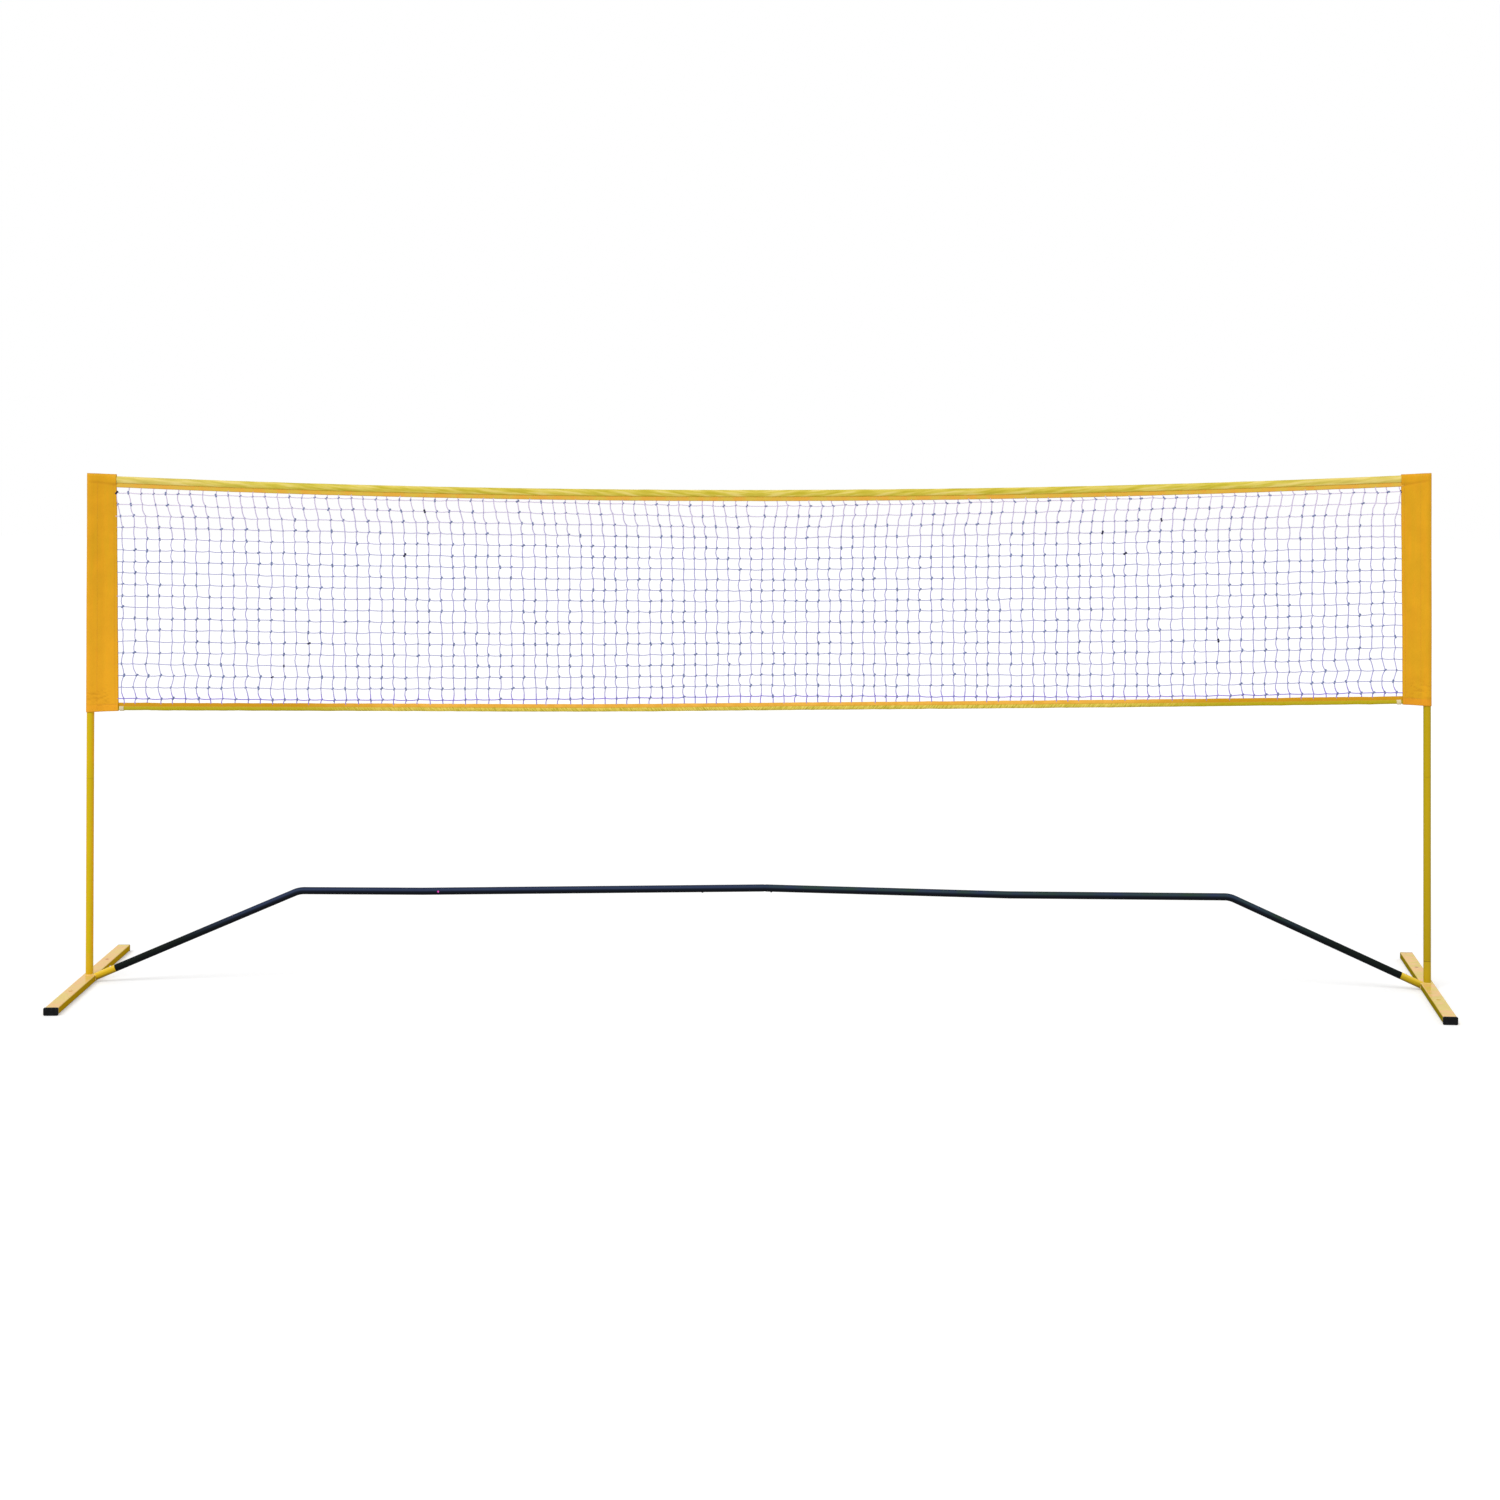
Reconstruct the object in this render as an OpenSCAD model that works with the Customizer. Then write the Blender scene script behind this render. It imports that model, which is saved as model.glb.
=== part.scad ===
// Portable volleyball net on two posts.
// Two flat feet carry the posts, a raised ground bar ties the feet together, and the net
// slides over the posts by its two end sleeves. +X runs along the net, +Y points away from
// the front, +Z is up, and the origin lies on the floor midway between the posts.

/* [Overall] */
// Distance between the two post axes
post_span = 4060; // [3200:10:6000]
// Height of the top of the left sleeve above the floor
net_height = 1550; // [1200:10:2300]
// How much higher the right post and sleeve reach
right_extra = 7; // [0:0.5:20]
// Radial clearance of tubes, plugs and buttons that slide into each other
fit = 0.1; // [0.05:0.01:0.1]

/* [Feet] */
// Length of a foot over its two end caps
foot_len = 1030; // [600:10:1400]
// Angle by which the back end of each foot is turned outwards
foot_toe = 3.5; // [0:0.5:8]
// Width of the flat foot tube
beam_w = 40; // [36:1:60]
// Height of the flat foot tube
beam_h = 20; // [18:1:30]
// Wall of the flat foot tube
beam_wall = 1.5; // [1:0.1:3]
// Corner radius of the flat foot tube
beam_r = 3; // [1.6:0.1:5]
// Distance of each peg hole from the post
peg_offset = 257; // [120:1:280]
// Diameter of the ground peg holes
peg_d = 8; // [6:0.5:10]
// Thickness of a front cap's flange
cap_flange = 5; // [3:0.5:10]
// Thickness of a back cap's flange
back_flange = 3; // [2:0.5:10]
// How far a front cap's flange stands proud of the tube, and how far both hang below it
cap_lip = 1.5; // [1:0.1:3]
// Depth of an end cap's plug
plug_len = 18; // [10:1:30]

/* [Posts] */
// Outer diameter of the post tubes
post_d = 23; // [20:0.5:32]
// Wall of the post tubes
post_wall = 1.1; // [0.8:0.1:1.6]
// Height of the joint between the two tubes of the left post
left_joint_z = 620; // [300:1:700]
// Height of the joint between the two tubes of the right post
right_joint_z = 642; // [300:1:700]
// Length of the reduced neck at the top of a lower tube
post_neck = 60; // [30:1:90]
// Depth of the post socket
socket_depth = 67; // [40:1:100]
// Size of the weld fillet round the foot of the post socket
weld = 3; // [1:0.5:5]
// Thickness of the post cap's domed head
post_cap_head = 3; // [2:0.5:6]

/* [Ground bar] */
// Outer diameter of the bar tubes
bar_d = 22; // [20:0.5:26]
// Wall of the bar tubes
bar_wall = 1.1; // [0.8:0.1:1.4]
// Height of the bar's axis at its left bend
left_bend_z = 280.5; // [270:0.5:290]
// Height of the bar's axis at its right bend
right_bend_z = 277.2; // [270:0.1:290]
// Distance of the left bend from the left post
left_bend_in = 642; // [600:1:700]
// Distance of the right bend from the right post
right_bend_in = 594; // [560:1:650]
// Distance of the left knee from the left post
left_knee_in = 1020; // [980:5:1050]
// Height of the bar's axis at its left knee
left_knee_z = 280.6; // [278:0.1:283]
// Distance of the right knee from the right post
right_knee_in = 1260; // [1230:5:1290]
// Height of the bar's axis at its right knee
right_knee_z = 279.5; // [277:0.1:282]
// Height of the bar's axis at its crown
crown_z = 296.4; // [294:0.1:300]
// Offset of the crown from the middle of the span
crown_x = 30; // [10:1:50]
// Radius of the two bends
bend_r = 75; // [50:1:150]
// Height of a bar socket's axis where it leaves the foot
stub_z = 16; // [15:0.5:20]
// Length of a bar socket from the side of the foot
stub_len = 66; // [50:1:100]
// How far the bar goes into a bar socket
stub_insert = 46; // [43:1:48]
// Length of an end tube from the side of the foot
end_tube_reach = 472; // [300:1:480]
// Length of the left corner tube from its knee to its joint with the middle tube
left_knee_leg = 62; // [58:1:90]
// Length of the right corner tube from its knee to its joint with the middle tube
right_knee_leg = 109; // [80:1:130]
// Length of the reduced neck on a bar tube
bar_neck = 50; // [46:1:52]
// Length of the centre coupler to the left of the crown
coupler_left = 222; // [200:1:240]
// Length of the centre coupler to the right of the crown
coupler_right = 34; // [32:1:60]
// Distance of the left coupler button from the end of the coupler
coupler_button_in = 33; // [14:1:60]
// Gap between the two middle tubes inside the coupler
coupler_gap = 12; // [8:1:30]
// Width of the crimp that stops the middle tubes inside the coupler
crimp_w = 6; // [3:0.5:7]

/* [Snap buttons] */
// Diameter of a snap button
button_d = 6; // [5:0.5:8]
// How far a button stands out of the outer tube
button_out = 2; // [1:0.1:3]
// Distance of a button from the end of the outer tube
button_in = 14; // [10:1:17]
// Thickness of the spring strip
spring_t = 0.8; // [0.5:0.1:1]
// Width of the spring strip
spring_w = 6; // [4:0.5:7]
// Length of a spring behind its button
spring_len = 26; // [16:1:29]

/* [Net] */
// Distance of a sleeve's inner edge from the post axis
sleeve_reach = 80; // [50:1:140]
// Ease of the sleeve round the post
sleeve_ease = 0.6; // [0.4:0.1:2]
// Distance over which the sleeve's pocket narrows to its flap
pocket_run = 6; // [3:1:20]
// Room left in the sleeve beyond the edge of the netting
slot_room = 8; // [2:1:15]
// Thickness of the sleeve and tape fabric
cloth = 1.2; // [0.8:0.1:2]
// Height of the left sleeve's lower edge
left_sleeve_z = 823; // [700:1:1000]
// Height of the right sleeve's lower edge
right_sleeve_z = 858; // [700:1:1000]
// Distance of the tapes from the ends of the sleeves
tape_inset = 6; // [2:1:20]
// Height of the top tape
top_tape_h = 34; // [24:1:60]
// Height of the bottom tape
bottom_tape_h = 23; // [18:1:60]
// Sag of the top tape at the middle
top_sag = 41; // [0:1:80]
// Sag of the bottom tape at the middle
bottom_sag = 9; // [0:1:40]
// Gap between the ends of the bottom tape and the sleeves
bottom_tape_gap = 6; // [0:1:20]
// Diameter of the cords in the top and bottom tapes
cord_d = 4; // [3:0.5:6]
// Thickness of the netting
net_t = 1.6; // [1:0.1:2.4]
// Width of a strand of the netting
strand_w = 3; // [2:0.5:5]
// Number of meshes along the netting
mesh_columns = 42; // [20:1:42]
// Number of meshes up the netting
mesh_rows = 7; // [4:1:7]
// How far the netting reaches into the sleeves and tapes
net_hold = 14; // [8:1:15]

/* [Hidden] */
$fn = 64;
cut = 1;
touch = 0.1;
seat_gap = 0.3;

LEFT = 0;
RIGHT = 1;
paint = "goldenrod";
bar_paint = [0.10, 0.11, 0.12];
plastic = [0.06, 0.06, 0.06];
steel = "silver";
fabric = "orange";

post_x = post_span / 2;
beam_z = cap_lip;
beam_top = beam_z + beam_h;
beam_ends = [-foot_len / 2 + cap_flange, foot_len / 2 - back_flange];
post_id = post_d - 2 * post_wall;
post_neck_d = post_id - 2 * fit;
post_neck_id = post_neck_d - 2 * post_wall;
socket_top = beam_top + socket_depth;
sleeve_top = [net_height, net_height + right_extra];
post_top = [for (z = sleeve_top) z - cloth - seat_gap - post_cap_head];
joint_z = [left_joint_z, right_joint_z];

bar_id = bar_d - 2 * bar_wall;
neck_d = bar_id - 2 * fit;
neck_id = neck_d - 2 * bar_wall;
shoulder = 4;
bend_in = [left_bend_in, right_bend_in];
bend_z = [left_bend_z, right_bend_z];
knee_in = [left_knee_in, right_knee_in];
knee_z = [left_knee_z, right_knee_z];
knee_leg = [left_knee_leg, right_knee_leg];
coupler_run = [coupler_left, coupler_right];
coupler_button = [coupler_button_in, button_in];
corner_button_turn = [90, -90];
die_mark = 0.1;
die_mark_w = 2;

// Points of the bar's axis in the XZ plane, drawn as for the left half: where it leaves the
// foot, where its straight runs would meet at the bend, its knee and its crown in the coupler.
function foot_pt(i) = [-post_x + beam_w / 2, stub_z];
function bend_pt(i) = [-post_x + bend_in[i], bend_z[i]];
function knee_pt(i) = [-post_x + knee_in[i], knee_z[i]];
function crown_pt(i) = [i == LEFT ? crown_x : -crown_x, crown_z];
function slope(a, b) = atan2(b[1] - a[1], b[0] - a[0]);
function rise_angle(i) = slope(foot_pt(i), bend_pt(i));
function level_angle(i) = slope(bend_pt(i), knee_pt(i));
function crown_angle(i) = slope(knee_pt(i), crown_pt(i));
function rise_len(i) = norm(bend_pt(i) - foot_pt(i));
function level_len(i) = norm(knee_pt(i) - bend_pt(i));
function crown_len(i) = norm(crown_pt(i) - knee_pt(i));
function bend_tangent(i) = bend_r * tan((rise_angle(i) - level_angle(i)) / 2);

flange_d = button_d + 3;
flange_t = 1;
button_hole_d = button_d + 2 * fit;

sleeve_z = [left_sleeve_z, right_sleeve_z];
pocket_r = post_d / 2 + sleeve_ease;
slot_half = net_t / 2 + touch;
flap_half = slot_half + cloth;
channel_half = cord_d / 2 + touch;
channel_h = cord_d + 2 * touch;
fold_half = channel_half + cloth;
tape_end = post_x - sleeve_reach;
tape_parts = 24;
tape_rise = 4;
top_ends = [for (z = sleeve_top) z - tape_inset];
bottom_ends = [for (z = sleeve_z) z + tape_rise];

// Height of a sagging line with the given end heights
function sag_z(x, ends, sag) =
    ends[0] + (ends[1] - ends[0]) * (x + tape_end) / (2 * tape_end) - sag * (1 - pow(x / tape_end, 2));
function top_z(x) = sag_z(x, top_ends, top_sag);
function bottom_z(x) = sag_z(x, bottom_ends, bottom_sag);

// ---- placing -------------------------------------------------------------------------

// Draws a left-hand piece on its own side of the net
module on_side(i) {
    if (i == LEFT) children();
    else mirror([1, 0, 0]) children();
}

// Places a piece in the frame of a foot: its length along Y, turned out by foot_toe
module in_foot() {
    translate([-post_x, 0, 0]) rotate([0, 0, foot_toe]) children();
}

// Places a piece on the rising run of the bar, its length along X
module on_rise(i, along = 0) {
    translate([foot_pt(i)[0], 0, foot_pt(i)[1]]) rotate([0, -rise_angle(i), 0])
        translate([along, 0, 0]) children();
}

// Places a piece on the level run of the bar, its length along X
module on_level(i, along = 0) {
    translate([bend_pt(i)[0], 0, bend_pt(i)[1]]) rotate([0, -level_angle(i), 0])
        translate([along, 0, 0]) children();
}

// Places a piece on the run from the knee up to the crown of the bar, its length along X
module on_crown(i, along = 0) {
    translate([knee_pt(i)[0], 0, knee_pt(i)[1]]) rotate([0, -crown_angle(i), 0])
        translate([along, 0, 0]) children();
}

module rod_x(from, to, d) {
    translate([from, 0, 0]) rotate([0, 90, 0]) cylinder(h = to - from, d = d);
}

module rounded_rect(w, h, r) {
    square([w - 2 * r, h], center = true);
    square([w, h - 2 * r], center = true);
    for (x = [-1, 1], y = [-1, 1])
        translate([x * (w / 2 - r), y * (h / 2 - r)]) circle(r = r);
}

// ---- feet ----------------------------------------------------------------------------

// A flat profile pushed along the foot from y0 to y1
module along_foot(y0, y1) {
    translate([0, y1, beam_z + beam_h / 2]) rotate([90, 0, 0])
        linear_extrude(height = y1 - y0) children();
}

module foot_beam() {
    color(paint) in_foot() difference() {
        along_foot(beam_ends[0], beam_ends[1]) rounded_rect(beam_w, beam_h, beam_r);
        along_foot(beam_ends[0] - cut, beam_ends[1] + cut)
            rounded_rect(beam_w - 2 * beam_wall, beam_h - 2 * beam_wall, beam_r - beam_wall);
        for (s = [-1, 1])
            translate([0, s * peg_offset, beam_z - cut]) cylinder(h = beam_h + 2 * cut, d = peg_d);
    }
}

// Hollow plug of an end cap, pressed into the tube from y0 to y1
module cap_plug(y0, y1) {
    plug_w = beam_w - 2 * beam_wall - 2 * fit;
    plug_h = beam_h - 2 * beam_wall - 2 * fit;
    plug_r = beam_r - beam_wall;
    plug_wall = 2;
    along_foot(y0, y1) difference() {
        rounded_rect(plug_w, plug_h, plug_r);
        square([plug_w - 2 * plug_wall, plug_h - 2 * plug_wall], center = true);
    }
}

// Front cap: its flange stands proud of the tube all round
module foot_front_cap() {
    color(plastic) in_foot() {
        along_foot(-foot_len / 2, beam_ends[0])
            rounded_rect(beam_w + 2 * cap_lip, beam_h + 2 * cap_lip, beam_r + cap_lip);
        cap_plug(beam_ends[0], beam_ends[0] + plug_len);
    }
}

// Back cap: its flange is flush with the tube but for the pad that it stands on
module foot_back_cap() {
    color(plastic) in_foot() {
        along_foot(beam_ends[1], foot_len / 2)
            translate([0, -cap_lip / 2]) rounded_rect(beam_w, beam_h + cap_lip, beam_r);
        cap_plug(beam_ends[1] - plug_len, beam_ends[1]);
    }
}

// Upright tube welded to the foot, with a fillet of weld round its foot
module post_socket() {
    fillet_steps = 6;
    fillet = [for (k = [0:fillet_steps]) let (a = 90 * k / fillet_steps)
        [post_d / 2 + weld * (1 - sin(a)), weld * (1 - cos(a))]];
    color(paint) translate([-post_x, 0, beam_top]) rotate_extrude()
        polygon(concat([[post_id / 2, 0]], fillet,
            [[post_d / 2, socket_depth], [post_id / 2, socket_depth]]));
}

// Slanting tube welded to the side of the foot, coped over its top edge up to the post socket
module bar_socket(i) {
    block_l = 120;
    color(paint) difference() {
        on_rise(i) rod_x(-beam_w / 2, stub_len, bar_d);
        on_rise(i) rod_x(stub_len - stub_insert, stub_len + cut, bar_id);
        on_rise(i, stub_len - button_in) button_hole();
        in_foot() translate([-beam_w / 2, -block_l / 2, -block_l])
            cube([beam_w, block_l, block_l + beam_top]);
        translate([-post_x, 0, -block_l]) cylinder(h = 2 * block_l, r = post_d / 2 + weld);
    }
}

// ---- posts ---------------------------------------------------------------------------

// Lower tube with a drawn-in neck at each end: one stands in the socket, one carries the upper tube
module lower_post(i) {
    body_top = joint_z[i];
    color(paint) translate([-post_x, 0, 0]) difference() {
        union() {
            translate([0, 0, beam_top]) cylinder(h = socket_depth + shoulder / 2, d = post_neck_d);
            translate([0, 0, socket_top]) cylinder(h = body_top - socket_top, d = post_d);
            translate([0, 0, body_top]) cylinder(h = post_neck, d = post_neck_d);
        }
        translate([0, 0, beam_top - cut]) cylinder(h = socket_depth + shoulder + 2 * cut, d = post_neck_id);
        translate([0, 0, socket_top + shoulder])
            cylinder(h = body_top - socket_top - 2 * shoulder, d = post_id);
        translate([0, 0, body_top - shoulder - cut])
            cylinder(h = post_neck + shoulder + 2 * cut, d = post_neck_id);
    }
}

module upper_post(i) {
    h = post_top[i] - joint_z[i];
    color(paint) translate([-post_x, 0, joint_z[i]]) difference() {
        cylinder(h = h, d = post_d);
        translate([0, 0, -cut]) cylinder(h = h + 2 * cut, d = post_id);
    }
}

// Domed cap on top of a post, with a hollow plug
module post_cap(i) {
    plug_r = post_id / 2 - fit;
    plug_depth = 15;
    plug_wall = 1.5;
    head_r = post_d / 2;
    dome_r = (head_r * head_r + post_cap_head * post_cap_head) / (2 * post_cap_head);
    color(plastic) translate([-post_x, 0, post_top[i]]) {
        intersection() {
            translate([0, 0, post_cap_head - dome_r]) sphere(r = dome_r, $fn = 180);
            cylinder(h = post_cap_head, r = head_r);
        }
        translate([0, 0, -plug_depth]) difference() {
            cylinder(h = plug_depth, r = plug_r);
            translate([0, 0, -cut]) cylinder(h = plug_depth, r = plug_r - plug_wall);
        }
    }
}

// ---- ground bar ----------------------------------------------------------------------

// Tube with a neck that goes into the foot's bar socket; it slips over the neck of the corner tube
module end_tube(i) {
    color(bar_paint) difference() {
        union() {
            on_rise(i) rod_x(stub_len - stub_insert, stub_len + shoulder / 2, neck_d);
            on_rise(i) rod_x(stub_len, end_tube_reach, bar_d);
        }
        on_rise(i) rod_x(stub_len - stub_insert - cut, stub_len + shoulder + cut, neck_id);
        on_rise(i) rod_x(stub_len + shoulder, end_tube_reach + cut, bar_id);
        on_rise(i, stub_len - button_in) button_hole();
        on_rise(i, end_tube_reach - button_in) button_hole();
    }
}

// The round of a corner tube, between its two straight legs
module bend(i, d) {
    turn = rise_angle(i) - level_angle(i);
    start = rise_len(i) - bend_tangent(i);
    on_rise(i, start) translate([0, 0, -bend_r]) rotate([90, 0, 0])
        rotate([0, 0, 90 - turn]) rotate_extrude(angle = turn) translate([bend_r, 0]) circle(d = d);
}

// Both legs and the round between them, with the die's mark at each end of the round and at
// the knee
module bent_rod(i, from, to, d) {
    mark_d = d + 2 * die_mark;
    mark_half = die_mark_w / 2;
    start = rise_len(i) - bend_tangent(i);
    on_rise(i) rod_x(from, start, d);
    on_rise(i) rod_x(start - mark_half, start + mark_half, mark_d);
    bend(i, d);
    on_level(i) rod_x(bend_tangent(i) - mark_half, bend_tangent(i) + mark_half, mark_d);
    on_level(i) rod_x(bend_tangent(i), level_len(i), d);
    on_level(i) rod_x(level_len(i) - mark_half, level_len(i) + mark_half, mark_d);
    on_crown(i) rod_x(0, to, d);
}

module corner_tube(i) {
    color(bar_paint) difference() {
        union() {
            on_rise(i) rod_x(end_tube_reach - bar_neck, end_tube_reach + shoulder / 2, neck_d);
            bent_rod(i, end_tube_reach, knee_leg[i], bar_d);
        }
        on_rise(i) rod_x(end_tube_reach - bar_neck - cut, end_tube_reach + shoulder + cut, neck_id);
        bent_rod(i, end_tube_reach + shoulder, knee_leg[i] + cut, bar_id);
        on_rise(i, end_tube_reach - button_in) button_hole();
        on_crown(i, knee_leg[i] - button_in) rotate([corner_button_turn[i], 0, 0]) button_hole();
    }
}

// Straight tube from a corner tube to the centre coupler, with a neck at each end
module middle_tube(i) {
    coupler_end = crown_len(i) - coupler_run[i];
    inner_end = crown_len(i) - coupler_gap / 2;
    color(bar_paint) difference() {
        union() {
            on_crown(i) rod_x(knee_leg[i] - bar_neck, knee_leg[i] + shoulder / 2, neck_d);
            on_crown(i) rod_x(knee_leg[i], coupler_end, bar_d);
            on_crown(i) rod_x(coupler_end - shoulder / 2, inner_end, neck_d);
        }
        on_crown(i) rod_x(knee_leg[i] - bar_neck - cut, knee_leg[i] + shoulder + cut, neck_id);
        on_crown(i) rod_x(knee_leg[i] + shoulder, coupler_end - shoulder, bar_id);
        on_crown(i) rod_x(coupler_end - shoulder - cut, inner_end + cut, neck_id);
        on_crown(i, knee_leg[i] - button_in) rotate([corner_button_turn[i], 0, 0]) button_hole();
        on_crown(i, coupler_end + coupler_button[i]) rotate([180, 0, 0]) button_hole();
    }
}

// One straight part of the coupler, up to the crimp at the crown
module coupler_half(i, d, over) {
    on_side(i) on_crown(i) rod_x(crown_len(i) - coupler_run[i] - over, crown_len(i) - crimp_w / 2, d);
}

// Sleeve over the necks of the middle tubes, with a rolled crimp that stops them at the crown
module centre_coupler() {
    crimp_lap = 1;
    color(bar_paint) difference() {
        union() {
            for (i = [LEFT, RIGHT]) coupler_half(i, bar_d, 0);
            translate([crown_x, 0, crown_z])
                rod_x(-crimp_w / 2 - crimp_lap, crimp_w / 2 + crimp_lap, bar_id + bar_wall);
        }
        for (i = [LEFT, RIGHT]) {
            coupler_half(i, bar_id, cut);
            on_side(i) on_crown(i, crown_len(i) - coupler_run[i] + coupler_button[i])
                rotate([180, 0, 0]) button_hole();
        }
        translate([crown_x, 0, crown_z]) rod_x(-crimp_w, crimp_w, bar_id - bar_wall);
    }
}

// ---- snap buttons --------------------------------------------------------------------
// A button is drawn with the tube's axis along X and the button pointing up.

// Height of a strip of the given width where it touches the inside of a neck
function chord_z(w) = sqrt(neck_id * neck_id - w * w) / 2;

module button_hole() {
    cylinder(h = bar_d, d = button_hole_d);
}

// Round-headed button with a flange that stops it behind the wall of the neck
module button() {
    tip = bar_d / 2 + button_out;
    flange_top = chord_z(flange_d) - touch;
    crown_steps = 6;
    crown_r = button_d / 2;
    crown_h = button_out;
    crown = [for (k = [0:crown_steps]) let (a = 90 * k / crown_steps)
        [crown_r * cos(a), tip - crown_h + crown_h * sin(a)]];
    color(steel) rotate_extrude($fn = 48)
        polygon(concat([[0, flange_top - flange_t], [flange_d / 2, flange_top - flange_t],
            [flange_d / 2, flange_top], [crown_r, flange_top]], crown));
}

// Bent strip that presses the button outwards: one leg under the button, one on the far wall
module button_spring() {
    top = chord_z(flange_d) - touch - flange_t;
    low = -chord_z(spring_w) + touch;
    back_r = 2;
    mid = (top + low) / 2;
    rest = flange_d / 2;
    color(steel) translate([0, spring_w / 2, 0]) rotate([90, 0, 0]) linear_extrude(height = spring_w) {
        polygon([[-spring_len, mid + back_r - spring_t], [-rest, top - spring_t], [rest, top - spring_t],
            [rest, top], [-rest, top], [-spring_len, mid + back_r]]);
        polygon([[-spring_len, mid - back_r], [-rest, low], [rest, low],
            [rest, low + spring_t], [-rest, low + spring_t], [-spring_len, mid - back_r + spring_t]]);
        translate([-spring_len, mid]) difference() {
            circle(r = back_r, $fn = 32);
            circle(r = back_r - spring_t, $fn = 32);
            translate([0, -back_r - cut]) square(2 * back_r + 2 * cut);
        }
    }
}

// ---- net -----------------------------------------------------------------------------

// Points of a sagging strip: its upper edge is `up` and its lower edge `down` below a line
function strip_x(k, x0, x1) = x0 + (x1 - x0) * k / tape_parts;
function top_strip(x0, x1, up, down) = concat(
    [for (k = [0:tape_parts]) let (x = strip_x(k, x0, x1)) [x, top_z(x) - up]],
    [for (k = [tape_parts:-1:0]) let (x = strip_x(k, x0, x1)) [x, top_z(x) - down]]);
function bottom_strip(x0, x1, up, down) = concat(
    [for (k = [0:tape_parts]) let (x = strip_x(k, x0, x1)) [x, bottom_z(x) + up]],
    [for (k = [tape_parts:-1:0]) let (x = strip_x(k, x0, x1)) [x, bottom_z(x) + down]]);

// An outline in the net's plane, made half deep to the front and to the back
module in_net(half) {
    translate([0, half, 0]) rotate([90, 0, 0]) linear_extrude(height = 2 * half) children();
}

// Folded tape: two flaps hold the netting and the fold holds the head cord
module top_tape() {
    fold_h = channel_h + 2 * cloth;
    color(fabric) difference() {
        union() {
            in_net(fold_half) polygon(top_strip(-tape_end, tape_end, 0, fold_h));
            in_net(flap_half) polygon(top_strip(-tape_end, tape_end, 0, top_tape_h));
        }
        in_net(channel_half) polygon(top_strip(-tape_end - cut, tape_end + cut, cloth, cloth + channel_h));
        in_net(slot_half) polygon(top_strip(-tape_end - cut, tape_end + cut, cloth, top_tape_h + cut));
    }
}

module bottom_tape() {
    fold_h = channel_h + 2 * cloth;
    end = tape_end - bottom_tape_gap;
    color(fabric) difference() {
        union() {
            in_net(fold_half) polygon(bottom_strip(-end, end, 0, fold_h));
            in_net(flap_half) polygon(bottom_strip(-end, end, 0, bottom_tape_h));
        }
        in_net(channel_half) polygon(bottom_strip(-end - cut, end + cut, cloth, cloth + channel_h));
        in_net(slot_half) polygon(bottom_strip(-end - cut, end + cut, cloth, bottom_tape_h + cut));
    }
}

// A cord swept as a tube along a list of points in the net's plane
module swept_cord(path, d) {
    sides = 8;
    rings = len(path);
    points = [for (p = path) for (k = [0:sides - 1]) let (a = 360 * k / sides)
        [p[0], d / 2 * sin(a), p[1] + d / 2 * cos(a)]];
    walls = [for (r = [0:rings - 2]) for (k = [0:sides - 1]) let (n = (k + 1) % sides)
        each [[r * sides + k, r * sides + n, (r + 1) * sides + n],
            [r * sides + k, (r + 1) * sides + n, (r + 1) * sides + k]]];
    start = [[for (k = [sides - 1:-1:0]) k]];
    end = [[for (k = [0:sides - 1]) (rings - 1) * sides + k]];
    polyhedron(points = points, faces = concat(walls, start, end));
}

module head_cord() {
    color("ivory") swept_cord([for (k = [0:tape_parts]) let (x = strip_x(k, -tape_end, tape_end))
        [x, top_z(x) - cloth - channel_h / 2]], cord_d);
}

module foot_cord() {
    color("ivory") swept_cord([for (k = [0:tape_parts]) let (x = strip_x(k, -tape_end, tape_end))
        [x, bottom_z(x) + cloth + channel_h / 2]], cord_d);
}

// Sleeve of a folded cloth band: a closed pocket over the post and a flap that holds the netting
module sleeve(i) {
    outer_r = pocket_r + cloth;
    pocket_seam = outer_r + pocket_run;
    slot_depth = net_hold + slot_room;
    height = sleeve_top[i] - sleeve_z[i];
    color(fabric) translate([-post_x, 0, sleeve_z[i]]) difference() {
        linear_extrude(height = height) {
            circle(r = outer_r);
            polygon([[outer_r / 3, -outer_r * 0.94], [pocket_seam, -flap_half], [sleeve_reach, -flap_half],
                [sleeve_reach, flap_half], [pocket_seam, flap_half], [outer_r / 3, outer_r * 0.94]]);
        }
        translate([0, 0, -cut]) cylinder(h = height - cloth + cut, r = pocket_r);
        translate([sleeve_reach - slot_depth, -slot_half, -cut])
            cube([slot_depth + cut, 2 * slot_half, height - tape_inset - cloth + cut]);
    }
}

// Flat netting of square meshes that follow the sag of the tapes
module netting() {
    end = tape_end + net_hold;
    nx = mesh_columns;
    nz = mesh_rows;
    h = strand_w / 2;
    function gx(u) = -end + 2 * end * u / nx;
    function low(x) = bottom_z(x) + bottom_tape_h - net_hold;
    function high(x) = top_z(x) - top_tape_h + net_hold;
    function gz(x, v) = low(x) + (high(x) - low(x)) * v / nz;
    border = concat([for (u = [0:nx]) [gx(u), low(gx(u))]], [for (u = [nx:-1:0]) [gx(u), high(gx(u))]]);
    meshes = [for (u = [0:nx - 1]) for (v = [0:nz - 1]) let (x0 = gx(u) + h, x1 = gx(u + 1) - h)
        each [[x0, gz(x0, v) + h], [x1, gz(x1, v) + h], [x1, gz(x1, v + 1) - h], [x0, gz(x0, v + 1) - h]]];
    first = len(border);
    paths = concat([[for (k = [0:first - 1]) k]],
        [for (m = [0:nx * nz - 1]) [for (k = [0:3]) first + 4 * m + k]]);
    color("slateblue") in_net(net_t / 2) polygon(points = concat(border, meshes), paths = paths);
}

// ---- the pieces of each side ----------------------------------------------------------

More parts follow.
